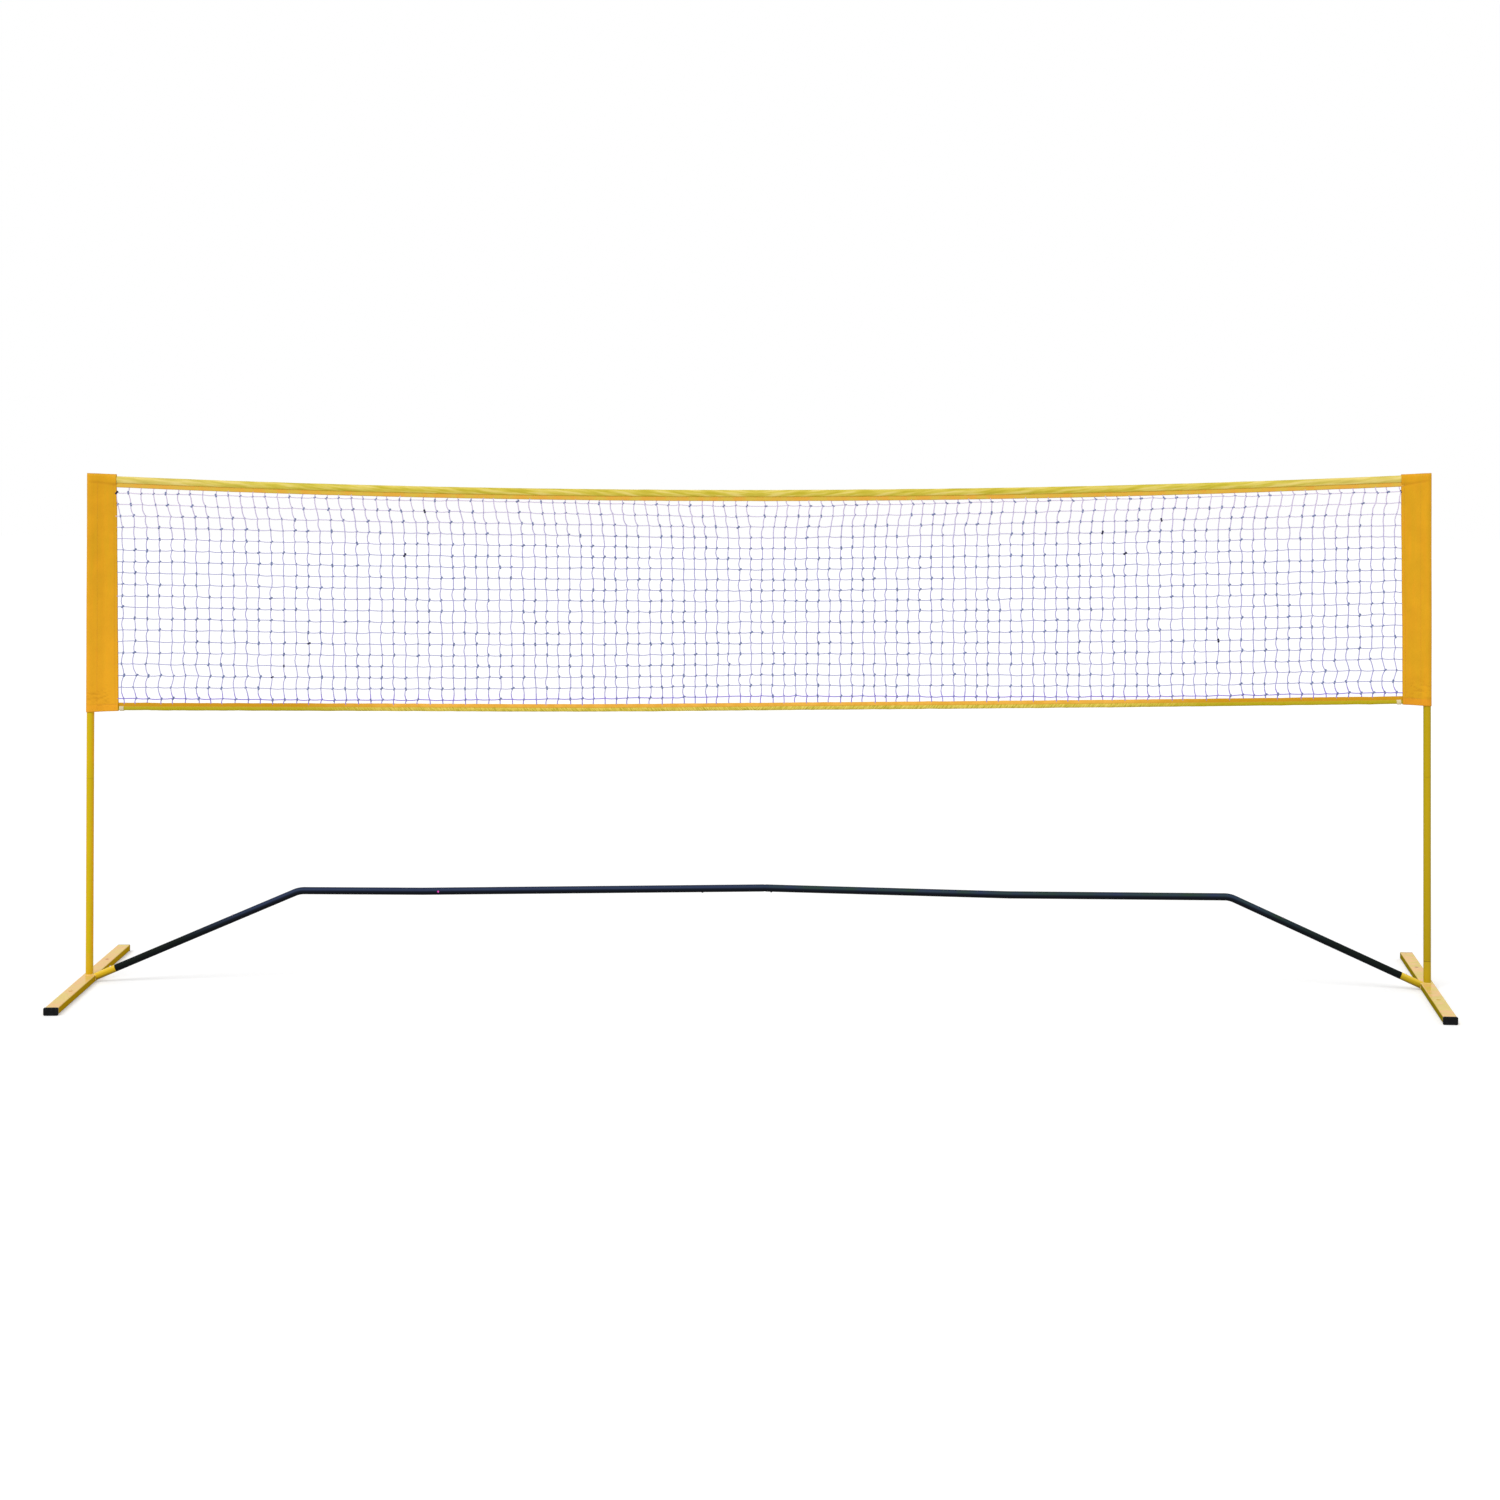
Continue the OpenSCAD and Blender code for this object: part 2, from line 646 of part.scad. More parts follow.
module foot_button(i) on_side(i) on_rise(i, stub_len - button_in) children();
module end_button(i) on_side(i) on_rise(i, end_tube_reach - button_in) children();
module corner_button(i)
    on_side(i) on_crown(i, knee_leg[i] - button_in) rotate([corner_button_turn[i], 0, 0]) children();
module coupler_button(i)
    on_side(i) on_crown(i, crown_len(i) - coupler_run[i] + coupler_button[i]) rotate([180, 0, 0]) children();

module left_foot_beam() on_side(LEFT) foot_beam();
module left_foot_front_cap() on_side(LEFT) foot_front_cap();
module left_foot_back_cap() on_side(LEFT) foot_back_cap();
module left_post_socket() on_side(LEFT) post_socket();
module left_bar_socket() on_side(LEFT) bar_socket(LEFT);
module right_foot_beam() on_side(RIGHT) foot_beam();
module right_foot_front_cap() on_side(RIGHT) foot_front_cap();
module right_foot_back_cap() on_side(RIGHT) foot_back_cap();
module right_post_socket() on_side(RIGHT) post_socket();
module right_bar_socket() on_side(RIGHT) bar_socket(RIGHT);

module left_lower_post() on_side(LEFT) lower_post(LEFT);
module left_upper_post() on_side(LEFT) upper_post(LEFT);
module left_post_cap() on_side(LEFT) post_cap(LEFT);
module right_lower_post() on_side(RIGHT) lower_post(RIGHT);
module right_upper_post() on_side(RIGHT) upper_post(RIGHT);
module right_post_cap() on_side(RIGHT) post_cap(RIGHT);

module left_end_tube() on_side(LEFT) end_tube(LEFT);
module left_corner_tube() on_side(LEFT) corner_tube(LEFT);
module left_middle_tube() on_side(LEFT) middle_tube(LEFT);
module right_middle_tube() on_side(RIGHT) middle_tube(RIGHT);
module right_corner_tube() on_side(RIGHT) corner_tube(RIGHT);
module right_end_tube() on_side(RIGHT) end_tube(RIGHT);

module left_foot_button() foot_button(LEFT) button();
module left_end_button() end_button(LEFT) button();
module left_corner_button() corner_button(LEFT) button();
module left_coupler_button() coupler_button(LEFT) button();
module right_foot_button() foot_button(RIGHT) button();
module right_end_button() end_button(RIGHT) button();
module right_corner_button() corner_button(RIGHT) button();
module right_coupler_button() coupler_button(RIGHT) button();

module left_foot_spring() foot_button(LEFT) button_spring();
module left_end_spring() end_button(LEFT) button_spring();
module left_corner_spring() corner_button(LEFT) button_spring();
module left_coupler_spring() coupler_button(LEFT) mirror([1, 0, 0]) button_spring();
module right_foot_spring() foot_button(RIGHT) button_spring();
module right_end_spring() end_button(RIGHT) button_spring();
module right_corner_spring() corner_button(RIGHT) button_spring();
module right_coupler_spring() coupler_button(RIGHT) button_spring();

module left_sleeve() on_side(LEFT) sleeve(LEFT);
module right_sleeve() on_side(RIGHT) sleeve(RIGHT);

left_foot_beam();
left_foot_front_cap();
left_foot_back_cap();
left_post_socket();
left_bar_socket();
right_foot_beam();
right_foot_front_cap();
right_foot_back_cap();
right_post_socket();
right_bar_socket();
left_lower_post();
left_upper_post();
left_post_cap();
right_lower_post();
right_upper_post();
right_post_cap();
left_end_tube();
left_corner_tube();
left_middle_tube();
centre_coupler();
right_middle_tube();
right_corner_tube();
right_end_tube();
left_foot_button();
left_end_button();
left_corner_button();
left_coupler_button();
right_foot_button();
right_end_button();
right_corner_button();
right_coupler_button();
left_foot_spring();
left_end_spring();
left_corner_spring();
left_coupler_spring();
right_foot_spring();
right_end_spring();
right_corner_spring();
right_coupler_spring();
netting();
top_tape();
bottom_tape();
head_cord();
foot_cord();
left_sleeve();
right_sleeve();
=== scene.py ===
from math import atan2, cos, exp, pi, radians, sin, sqrt

import bpy
from mathutils import Matrix, Vector, noise


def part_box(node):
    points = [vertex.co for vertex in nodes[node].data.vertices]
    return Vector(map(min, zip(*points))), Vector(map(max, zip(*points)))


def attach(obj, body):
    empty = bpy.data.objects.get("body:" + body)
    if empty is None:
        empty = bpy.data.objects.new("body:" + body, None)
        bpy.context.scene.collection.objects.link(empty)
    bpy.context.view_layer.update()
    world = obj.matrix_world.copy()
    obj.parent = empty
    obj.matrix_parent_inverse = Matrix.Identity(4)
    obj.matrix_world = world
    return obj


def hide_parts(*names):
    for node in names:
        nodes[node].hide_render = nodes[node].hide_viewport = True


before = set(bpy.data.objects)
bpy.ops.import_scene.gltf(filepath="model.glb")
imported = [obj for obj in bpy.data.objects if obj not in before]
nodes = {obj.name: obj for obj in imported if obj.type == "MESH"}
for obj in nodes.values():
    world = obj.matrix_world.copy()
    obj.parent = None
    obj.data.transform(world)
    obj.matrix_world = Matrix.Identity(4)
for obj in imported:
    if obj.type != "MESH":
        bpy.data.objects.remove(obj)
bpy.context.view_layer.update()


# ---- Camera ----
# The net is seen from the front and a little above its middle, square to the ground bar.
bpy.ops.object.select_all(action="DESELECT")
bpy.ops.object.camera_add(
    location=(0.3832, -8.668, 1.6652),
    rotation=[radians(a) for a in (90.5386, -0.1031, 1.3512)],
)
camera = bpy.context.object
camera.name = "camera"
camera.data.lens = 68.52
camera.data.sensor_width = 36
camera.data.shift_x = -0.0430
camera.data.shift_y = -0.2267
bpy.context.scene.camera = camera


# ---- Feet and sockets ----
# Each foot is a flat steel tube that lies front to back, with an upright socket for the
# post and a slanting one for the ground bar welded to it. All are powder coated in a
# glossy golden yellow, which is a little uneven and faintly pebbled.
post_x = 2.030
toe_out = radians(3.5)
foot_top = 0.0215
peg_reach = 0.257


def paint(red, green, blue):
    """A colour from 0 to 255 on a colour chart, as the linear values that a shader takes."""
    return [((c / 255 + 0.055) / 1.055) ** 2.4 for c in (red, green, blue)] + [1]


def feed(finish, socket, value):
    """Gives a socket a value or a wire."""
    if isinstance(value, bpy.types.NodeSocket):
        finish.node_tree.links.new(value, socket)
    else:
        socket.default_value = value


def add(finish, kind, settings=None, **sockets):
    """Adds a shader node. Its sockets are given by name, or by number as in _6."""
    node = finish.node_tree.nodes.new("ShaderNode" + kind)
    for name, value in (settings or {}).items():
        setattr(node, name, value)
    for name, value in sockets.items():
        at = int(name[1:]) if name[0] == "_" else name.replace("_", " ")
        feed(finish, node.inputs[at], value)
    return node


def new_finish(name):
    """An empty material, and a wire with each point's place on the object."""
    finish = bpy.data.materials.new(name)
    finish.use_nodes = True
    return finish, add(finish, "TexCoord").outputs["Object"]


def set_surface(finish, **sockets):
    """Gives sockets of the material's surface a value or a wire."""
    surface = finish.node_tree.nodes["Principled BSDF"]
    for name, value in sockets.items():
        feed(finish, surface.inputs[name.replace("_", " ")], value)


def part(finish, vector, axis):
    """The x, y or z of a vector, numbered 0 to 2."""
    return add(finish, "SeparateXYZ", Vector=vector).outputs[axis]


def maths(finish, operation, first, second=0.0):
    """One sum with values or wires."""
    return add(finish, "Math", {"operation": operation}, _0=first, _1=second).outputs[0]


def ramp(finish, value, low, high, first=0.0, last=1.0):
    """Goes from first to last as the value goes from low to high."""
    return add(
        finish, "MapRange", Value=value, From_Min=low, From_Max=high, To_Min=first, To_Max=last
    ).outputs[0]


def clouding(finish, place, size, detail):
    """Random clouds of about that size in metres, mostly near 0.5."""
    return add(finish, "TexNoise", Vector=place, Scale=1 / size, Detail=detail).outputs[0]


def mottle(finish, place, size, detail=3, low=0.35, high=0.65):
    """Soft blotches of about that size in metres, from 0 to 1."""
    return ramp(finish, clouding(finish, place, size, detail), low, high)


def relief(finish, height, strength, deep, **under):
    """Small bumps that deep in metres, over the larger ones that Normal may give."""
    bump = add(finish, "Bump", Strength=strength, Distance=deep, Height=height, **under)
    return bump.outputs[0]


def blend(finish, share, first, second, way="MIX"):
    """Goes from the first colour to the second, or to their product, as share goes to 1."""
    settings = {"data_type": "RGBA", "blend_type": way}
    return add(finish, "Mix", settings, _0=share, _6=first, _7=second).outputs[2]


def facing(finish, axis, low, high, both=False):
    """From 0 to 1 as the surface turns along x, y or z, or along both ways of it."""
    turned = part(finish, add(finish, "TexCoord").outputs["Normal"], axis)
    if both:
        turned = maths(finish, "ABSOLUTE", turned)
    return ramp(finish, turned, low, high)


def powder_coat(name, tones, gloss, specular, pebble=0.0012, lacquer=0.0):
    """Sprayed and baked paint: cloudy tones, orange peel, a wandering gloss, lacquer on top."""
    finish, place = new_finish(name)
    clouds = mottle(finish, place, 0.09)
    specks = maths(finish, "MULTIPLY", mottle(finish, place, 0.004, 2, 0.3, 0.7), 0.25)
    tone = tones(finish, place, clouds)
    set_surface(
        finish,
        Base_Color=blend(finish, specks, tone, (0.84, 0.84, 0.84, 1), "MULTIPLY"),
        Roughness=ramp(finish, clouds, 0, 1, gloss * 0.85, gloss * 1.2),
        Normal=relief(finish, clouding(finish, place, pebble, 1), 0.12, 0.0001),
        Specular_IOR_Level=specular,
    )
    if lacquer:
        thick = maths(finish, "MULTIPLY", facing(finish, 2, 0.4, 0.9), lacquer)
        set_surface(finish, Coat_Weight=thick, Coat_Roughness=0.22)
    return finish


def dress(finish, *names):
    """Gives the solids of those names this finish."""
    for name in names:
        mesh = nodes[name].data
        mesh.materials.clear()
        mesh.materials.append(finish)


def peg_hole(out, back):
    """Middle of a peg hole's rim: out is -1 left or 1 right, back is 1 behind or -1 in front."""
    reach = back * peg_reach
    return (out * (post_x + reach * sin(toe_out)), reach * cos(toe_out), foot_top)


def foot_tones(finish, place, clouds):
    """Deep golden sides, lighter or darker by which way they face, as painted shade, and a pale,
    warm top, a painted reflection of the bright room.
    """
    to_right = ramp(finish, part(finish, place, 0), -1.0, 1.0)
    # Painted shade: sides turned towards -x are darker than those turned towards +x.
    side = facing(finish, 0, -0.6, 0.6)
    side = blend(finish, side, paint(146, 128, 14), paint(186, 148, 16))
    drifts = mottle(finish, place, 0.05, 3, 0.42, 0.6)
    # Painted reflection: the pale top stands for the bright room seen in the glossy coat at a low
    # angle.
    top = blend(finish, to_right, paint(240, 198, 112), paint(222, 196, 84))
    top = blend(finish, clouds, top, paint(232, 204, 96))
    top = blend(finish, drifts, top, paint(242, 192, 114))
    # Round each peg hole behind the posts the coat is rubbed through to its pink primer.
    ring_inner, ring_outer = 0.0062, 0.0080
    for out in (-1, 1):
        apart = {"operation": "DISTANCE"}
        away = add(finish, "VectorMath", apart, _0=place, _1=peg_hole(out, 1)).outputs[1]
        rubbed = ramp(finish, away, ring_inner, ring_outer, 0.85, 0.0)
        top = blend(finish, rubbed, top, paint(208, 120, 84))
    # Faces turned up take the painted reflection of the top, the others the painted shade of the
    # sides.
    return blend(finish, facing(finish, 2, 0.3, 0.9), side, top)


def socket_tones(finish, place, clouds):
    """Golden yellow, with painted shade below and painted light above, and duller right."""
    to_right = ramp(finish, part(finish, place, 0), -1.0, 1.0)
    side = blend(finish, clouds, paint(196, 164, 26), paint(188, 160, 24))
    side = blend(finish, to_right, paint(218, 178, 30), side)
    # Painted shade on faces turned down, and painted light on faces turned up.
    low = blend(finish, facing(finish, 2, -0.8, -0.1), paint(140, 112, 10), side)
    tone = blend(finish, facing(finish, 2, 0.15, 0.9), low, paint(244, 210, 78))
    # The rim of the right upright socket shows as a thin dark line round the post, painted shade
    # in the gap at its mouth.
    rim_low, rim_high = 0.0862, 0.0868
    rim = ramp(finish, part(finish, place, 2), rim_low, rim_high, 0.0, 0.8)
    rim = maths(finish, "MULTIPLY", rim, to_right)
    return blend(finish, rim, tone, paint(120, 88, 16))


foot_yellow = powder_coat("yellow powder coat on feet", foot_tones, 0.3, 0.0, lacquer=0.5)
socket_yellow = powder_coat("yellow powder coat on sockets", socket_tones, 0.26, 0.06)
dress(foot_yellow, "left_foot_beam", "right_foot_beam")
dress(
    socket_yellow,
    "left_post_socket", "right_post_socket", "left_bar_socket", "right_bar_socket",
)


# ---- Blanking plugs ----
# The peg holes in front of the posts are closed with small steel plugs, pressed from
# sheet and painted like the foot. A stem grips the hole below a thin domed head, and the
# plug is pulled out when a peg is used.
def blanking_plug(name, out):
    """One plug, worked from a disc: the head inset and raised, the stem drawn down."""
    x, y, z = peg_hole(out, -1)
    rim_radius, rim_thick, stem_long = 0.0056, 0.0006, 0.006
    bpy.ops.object.select_all(action="DESELECT")
    bpy.ops.mesh.primitive_cylinder_add(
        vertices=40, radius=rim_radius, depth=rim_thick, location=(x, y, z + rim_thick / 2)
    )
    plug = bpy.context.object
    plug.name = plug.data.name = name
    bpy.ops.object.transform_apply(location=True, rotation=True, scale=True)
    # How far each inset goes in, and how far it is then lifted.
    head_steps = ((0.0006, 0.0004), (0.0016, 0.0003), (0.0018, 0.0001))
    stem_steps = ((0.0018, 0.0),)
    for up, steps in ((1, head_steps), (-1, stem_steps)):
        bpy.ops.object.mode_set(mode="EDIT")
        bpy.ops.mesh.select_mode(type="FACE")
        bpy.ops.mesh.select_all(action="DESELECT")
        bpy.ops.object.mode_set(mode="OBJECT")
        for face in plug.data.polygons:
            face.select = face.normal.z * up > 0.9
        bpy.ops.object.mode_set(mode="EDIT")
        for narrower, higher in steps:
            bpy.ops.mesh.inset(thickness=narrower, depth=0)
            bpy.ops.transform.translate(value=(0, 0, higher))
        if up < 0:
            down = {"value": (0, 0, -stem_long)}
            bpy.ops.mesh.extrude_region_move(TRANSFORM_OT_translate=down)
        bpy.ops.object.mode_set(mode="OBJECT")
    bpy.ops.object.shade_smooth()
    plug.data.materials.append(foot_yellow)
    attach(plug, "frame")


blanking_plug("left_front_plug", -1)
blanking_plug("right_front_plug", 1)


# ---- Weld beads ----
# The sockets are welded to the feet by hand. Each bead is a low ripple of metal under
# the powder coat: a ring round the post socket, a saddle over the bar socket, and a
# run round the bar socket where it meets the side and the top of the foot.
def pick(*pieces):
    """Deselects everything, then picks these pieces, the first of them active."""
    bpy.ops.object.select_all(action="DESELECT")
    for piece in pieces:
        piece.select_set(True)
    bpy.context.view_layer.objects.active = pieces[0]


def tube_along(name, points, radius, finish, ripple=0.0, step=3, sides=2):
    """A round bead or cord on these points. Its radius swells at every few points."""
    curve = bpy.data.curves.new(name, "CURVE")
    curve.dimensions = "3D"
    curve.bevel_depth = radius
    curve.bevel_resolution = sides
    curve.use_fill_caps = True
    line = curve.splines.new("POLY")
    line.points.add(len(points) - 1)
    for i, p in enumerate(points):
        line.points[i].co = (*p, 1)
        line.points[i].radius = 1 + ripple * cos(2 * pi * i / step)
    piece = bpy.data.objects.new(name, curve)
    bpy.context.scene.collection.objects.link(piece)
    pick(piece)
    bpy.ops.object.convert(target="MESH")
    piece = bpy.context.object
    bpy.ops.object.shade_smooth()
    piece.data.materials.clear()
    piece.data.materials.append(finish)
    return piece


def joined(name, pieces):
    """Several pieces made into one mesh, as they are once welded or sewn."""
    pick(*pieces)
    bpy.ops.object.join()
    pieces[0].name = pieces[0].data.name = name
    return pieces[0]


def dense(points):
    """The same path with a point every 0.9 mm, so that the bead's ripple is even."""
    out = [Vector(points[0])]
    for a, b in zip(points, points[1:]):
        a, b = Vector(a), Vector(b)
        n = max(1, round((b - a).length / 0.0009))
        out += [a.lerp(b, (i + 1) / n) for i in range(n)]
    return out


def weld_highlight_tones(finish, place, clouds):
    """Paler than the tubes: a painted highlight on the ripples of the beads."""
    return blend(finish, clouds, paint(248, 220, 156), paint(238, 204, 128))


weld_paint = powder_coat("powder coat on weld beads", weld_highlight_tones, 0.34, 0.3, 0.0007)
# Millimetres: just above the foot, the middle of the bar socket's mouth at the foot's
# side, and the radii on which the beads lie.
over_foot, mouth_x, mouth_z = 21.9, 20, 16
ring_radius, saddle_radius, socket_radius, run_radius = 12.3, 12.4, 11.0, 11.7
for side, out, rise in (("left", -1, 0.4252), ("right", 1, 0.4551)):
    lean = sqrt(1 + rise * rise)

    def at_foot(x, y, z, turn=toe_out):
        """From millimetres inward of the post, across, and up, to the foot of this side."""
        a, b = x * cos(turn) - y * sin(turn), x * sin(turn) + y * cos(turn)
        return (out * (post_x - a / 1000), b / 1000, z / 1000)

    # The ring stops short of the bar socket on each side.
    ring = []
    for i in range(89):
        t = radians(48 + 3 * i)
        ring.append(at_foot(ring_radius * cos(t), ring_radius * sin(t), over_foot))
    # The saddle climbs from the foot over the bar socket, beside the ring.
    saddle = []
    for i in range(-14, 15):
        t = radians(3.6 * i)
        x, y = saddle_radius * cos(t), saddle_radius * sin(t)
        top = mouth_z - (mouth_x - x) * rise + sqrt(max(0, socket_radius**2 - y * y)) * lean
        saddle.append(at_foot(x, y, max(top + 0.4, over_foot), 0))
    # The run goes over the foot's edge, round under the bar socket, and back up.
    start = [(11.0, -9.6, 22.0), (15.6, -10.2, 22.0), (20.2, -10.8, 21.4)]
    run = list(start)
    for i in range(13):
        t = radians(-64 + i * 128 / 12)
        run.append((20.6, run_radius * sin(t), mouth_z - run_radius * lean * cos(t)))
    run += [(x, -y, z) for x, y, z in reversed(start)]
    beads = [
        tube_along(side + "_" + shape, path, radius, weld_paint, 0.13)
        for shape, path, radius in (
            ("ring", ring, 0.0015),
            ("saddle", dense(saddle), 0.0014),
            ("run", dense([at_foot(*p) for p in run]), 0.0014),
        )
    ]
    bead = joined(side + "_weld_beads", beads)
    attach(bead, "frame")


# ---- Foot caps ----
# A ribbed plug of matt black polyethylene with a fine moulded grain is pressed into each
# end of the feet, with a thick rounded flange that takes the knocks. Smaller ones close
# the tops of the posts, under the sleeves.
def moulded_plastic(name, colour, scuffed, grain):
    """Plastic from a spark-eroded mould, with a fine grain, and scuffs a little paler."""
    finish, place = new_finish(name)
    scuffs = mottle(finish, place, 0.006, 6, 0.52, 0.72)
    set_surface(
        finish,
        Base_Color=blend(finish, scuffs, colour, scuffed),
        Roughness=ramp(finish, scuffs, 0, 1, 0.42, 0.62),
        Normal=relief(finish, clouding(finish, place, grain, 2), 0.25, 0.0001),
        Specular_IOR_Level=0.1,
    )
    return finish


cap_black = moulded_plastic(
    "black moulded plastic", paint(9, 10, 12), paint(28, 29, 32), 0.0006
)
dress(
    cap_black,
    "left_foot_front_cap", "left_foot_back_cap",
    "right_foot_front_cap", "right_foot_back_cap",
    "left_post_cap", "right_post_cap",
)


# ---- Posts ----
# Two thin steel tubes make each post: the lower one stands in its socket, and its
# drawn-in neck carries the upper one. The coat is golden, greener on the right post; its
# flanks and faces differ as painted reflection, and it is darker where the tubes meet, as
# painted shade in the gap with some dirt.
def post_tones(flank, face, joint, dim):
    """Tones of a post's flanks and faces, a painted reflection, darker at the joint with painted
    shade and dirt, and dimmed towards the foot.
    """
    duller, dimmer = ([c * share for c in face[:3]] + [1] for share in (0.94, 0.76))

    def tones(finish, place, clouds):
        height = part(finish, place, 2)
        # Painted reflection: faces turned front and back take the face tone, flanks the flank
        # tone.
        tone = blend(finish, facing(finish, 1, 0.55, 0.95, True), flank, face)
        tone = blend(finish, maths(finish, "MULTIPLY", clouds, 0.5), tone, duller)
        tone = blend(finish, ramp(finish, height, 0.5, 0.1, 0.0, dim), tone, dimmer)
        # Darker in a band where the tubes meet: painted shade in the gap, with some dirt.
        away = maths(finish, "ABSOLUTE", maths(finish, "SUBTRACT", height, joint))
        rubbed = ramp(finish, away, 0.0012, 0.0024, 0.12, 0.0)
        return blend(finish, rubbed, tone, paint(96, 74, 18))

    return tones


for side, flank, face, joint, dim in (
    ("left", paint(236, 172, 26), paint(212, 184, 20), 0.620, 0.0),
    ("right", paint(178, 160, 16), paint(194, 164, 20), 0.642, 0.7),
):
    tones = post_tones(flank, face, joint, dim)
    post_yellow = powder_coat(f"yellow powder coat on {side} post", tones, 0.24, 0.06)
    dress(post_yellow, side + "_lower_post", side + "_upper_post")


# ---- Ground bar ----
# Seven tubes plug into each other to make the bar that keeps the posts apart: slanting
# end tubes, bent corner tubes, middle tubes and a coupler. They are coated in a satin
# black with a cool cast, with a navy highlight painted where the light falls on it.
def bar_tones(finish, place, clouds):
    """Black below as painted shade; a painted navy highlight high on the tube, greener right,
    fading near the feet.
    """
    along = part(finish, place, 0)
    to_right = ramp(finish, along, -0.1, 0.2)
    shoulder_highlight = blend(finish, to_right, paint(46, 58, 84), paint(46, 68, 52))
    shoulder_highlight = blend(finish, clouds, shoulder_highlight, paint(46, 56, 84))
    to_foot = ramp(finish, maths(finish, "ABSOLUTE", along), 1.5, 1.75)
    shoulder_highlight = blend(finish, to_foot, shoulder_highlight, paint(20, 26, 23))
    flank = blend(finish, to_foot, paint(22, 27, 38), paint(18, 24, 22))
    # Painted shade on faces turned down, and a painted highlight on the faces above.
    tone = blend(finish, facing(finish, 2, -0.6, 0.0), paint(11, 13, 16), flank)
    tone = blend(finish, facing(finish, 2, 0.0, 0.45), tone, shoulder_highlight)
    # Painted shade along the very top of the tube, above the highlight.
    top_of_tube = maths(finish, "MULTIPLY", facing(finish, 2, 0.65, 1.0), 0.6)
    return blend(finish, top_of_tube, tone, paint(20, 26, 36))


bar_black = powder_coat("satin black coat", bar_tones, 0.36, 0.03, 0.0009)
dress(
    bar_black,
    "left_end_tube", "left_corner_tube", "left_middle_tube", "centre_coupler",
    "right_middle_tube", "right_corner_tube", "right_end_tube",
)


# ---- Snap buttons and their springs ----
# A round-headed pin snaps through the wall of each joint in the bar, pressed outwards
# by a bent strip of spring steel inside the tube. The pins are zinc plated, those under
# the coupler blackened, and the two beside the bends have a bright magenta cap.
def plated(name, colour, shade, gloss, metal):
    """Metal or lacquer with fine brushed lines along it and slight tarnish in blotches."""
    finish, place = new_finish(name)
    tarnish = mottle(finish, place, 0.003, 4)
    lines = add(finish, "Mapping", Vector=place, Scale=(9000, 900, 9000)).outputs[0]
    set_surface(
        finish,
        Base_Color=blend(finish, tarnish, colour, shade),
        Roughness=ramp(finish, tarnish, 0, 1, gloss, gloss * 1.5),
        Normal=relief(finish, clouding(finish, lines, 1, 1), 0.1, 0.00005),
        Metallic=metal,
    )
    return finish


pin_steel = plated("zinc plated steel", paint(236, 222, 230), paint(200, 188, 200), 0.22, 1.0)
pin_dark = plated("blackened steel", paint(40, 42, 48), paint(26, 27, 32), 0.4, 1.0)
pin_magenta = plated("magenta lacquer", paint(238, 58, 192), paint(214, 40, 166), 0.3, 0.0)
strip_steel = plated("spring steel", paint(176, 180, 188), paint(120, 124, 134), 0.3, 1.0)
for side in ("left", "right"):
    for joint, pin_finish in (
        ("foot", pin_steel), ("end", pin_steel), ("corner", pin_magenta), ("coupler", pin_dark),
    ):
        dress(pin_finish, f"{side}_{joint}_button")
        dress(strip_steel, f"{side}_{joint}_spring")


# ---- Netting ----
# A square-mesh net of thin twisted violet-blue twine, 110 uprights by 19 rows, with a
# hard little knot at each crossing. It hangs from the top tape and is laced to the
# bottom one. The knots drift outward near the top, where the rows are pulled to the posts.
half_net = 1.95
strand_end = 1.964
twine_radius = 0.0016
columns, rows, middle_column = 110, 19, 54


def top_line(x):
    """Height of the top edge of the net, which sags between the posts."""
    return 1.5463 - 0.0428 * (1 - (x / half_net) ** 2) + 0.0053 * x / half_net


def bottom_line(x):
    """Height of the bottom edge of the net, which climbs to the right."""
    sag = 0.009 * (1 - (x / half_net) ** 2) + 0.003 * exp(-(((x + 0.5) / 0.5) ** 2))
    return 0.827 + 0.035 * (x + half_net) / (2 * half_net) - sag


# Column, its place along the net, and the heights of its top and bottom knots.
stations = [
    (0, -1.9331, 1.4911, 0.8645),
    (20, -1.1789, 1.4745, 0.8620),
    (40, -0.4608, 1.4628, 0.8697),
    (54, 0.0207, 1.4554, 0.8792),
    (70, 0.5688, 1.4658, 0.8795),
    (90, 1.2611, 1.4841, 0.8832),
    (109, 1.9352, 1.5032, 0.8982),
]


def smooth(stops, t, k):
    """Value k of the stops at t, on a smooth curve through them."""
    i = max(0, min(len(stops) - 2, sum(s[0] <= t for s in stops) - 1))
    a, b = stops[i], stops[i + 1]
    before, after = stops[max(0, i - 1)], stops[min(len(stops) - 1, i + 2)]
    span = b[0] - a[0]
    m0 = (b[k] - before[k]) / (b[0] - before[0]) * span
    m1 = (after[k] - a[k]) / (after[0] - a[0]) * span
    f = (t - a[0]) / span
    return (
        (2 * f**3 - 3 * f**2 + 1) * a[k] + (f**3 - 2 * f**2 + f) * m0
        + (3 * f**2 - 2 * f**3) * b[k] + (f**3 - f**2) * m1
    )


def stray(column, row, salt):
    """How far a knot strays, from -1 to 1, the same each time."""
    return noise.cell(Vector((column + 0.5, row + 0.5, salt + 0.5))) * 2 - 1


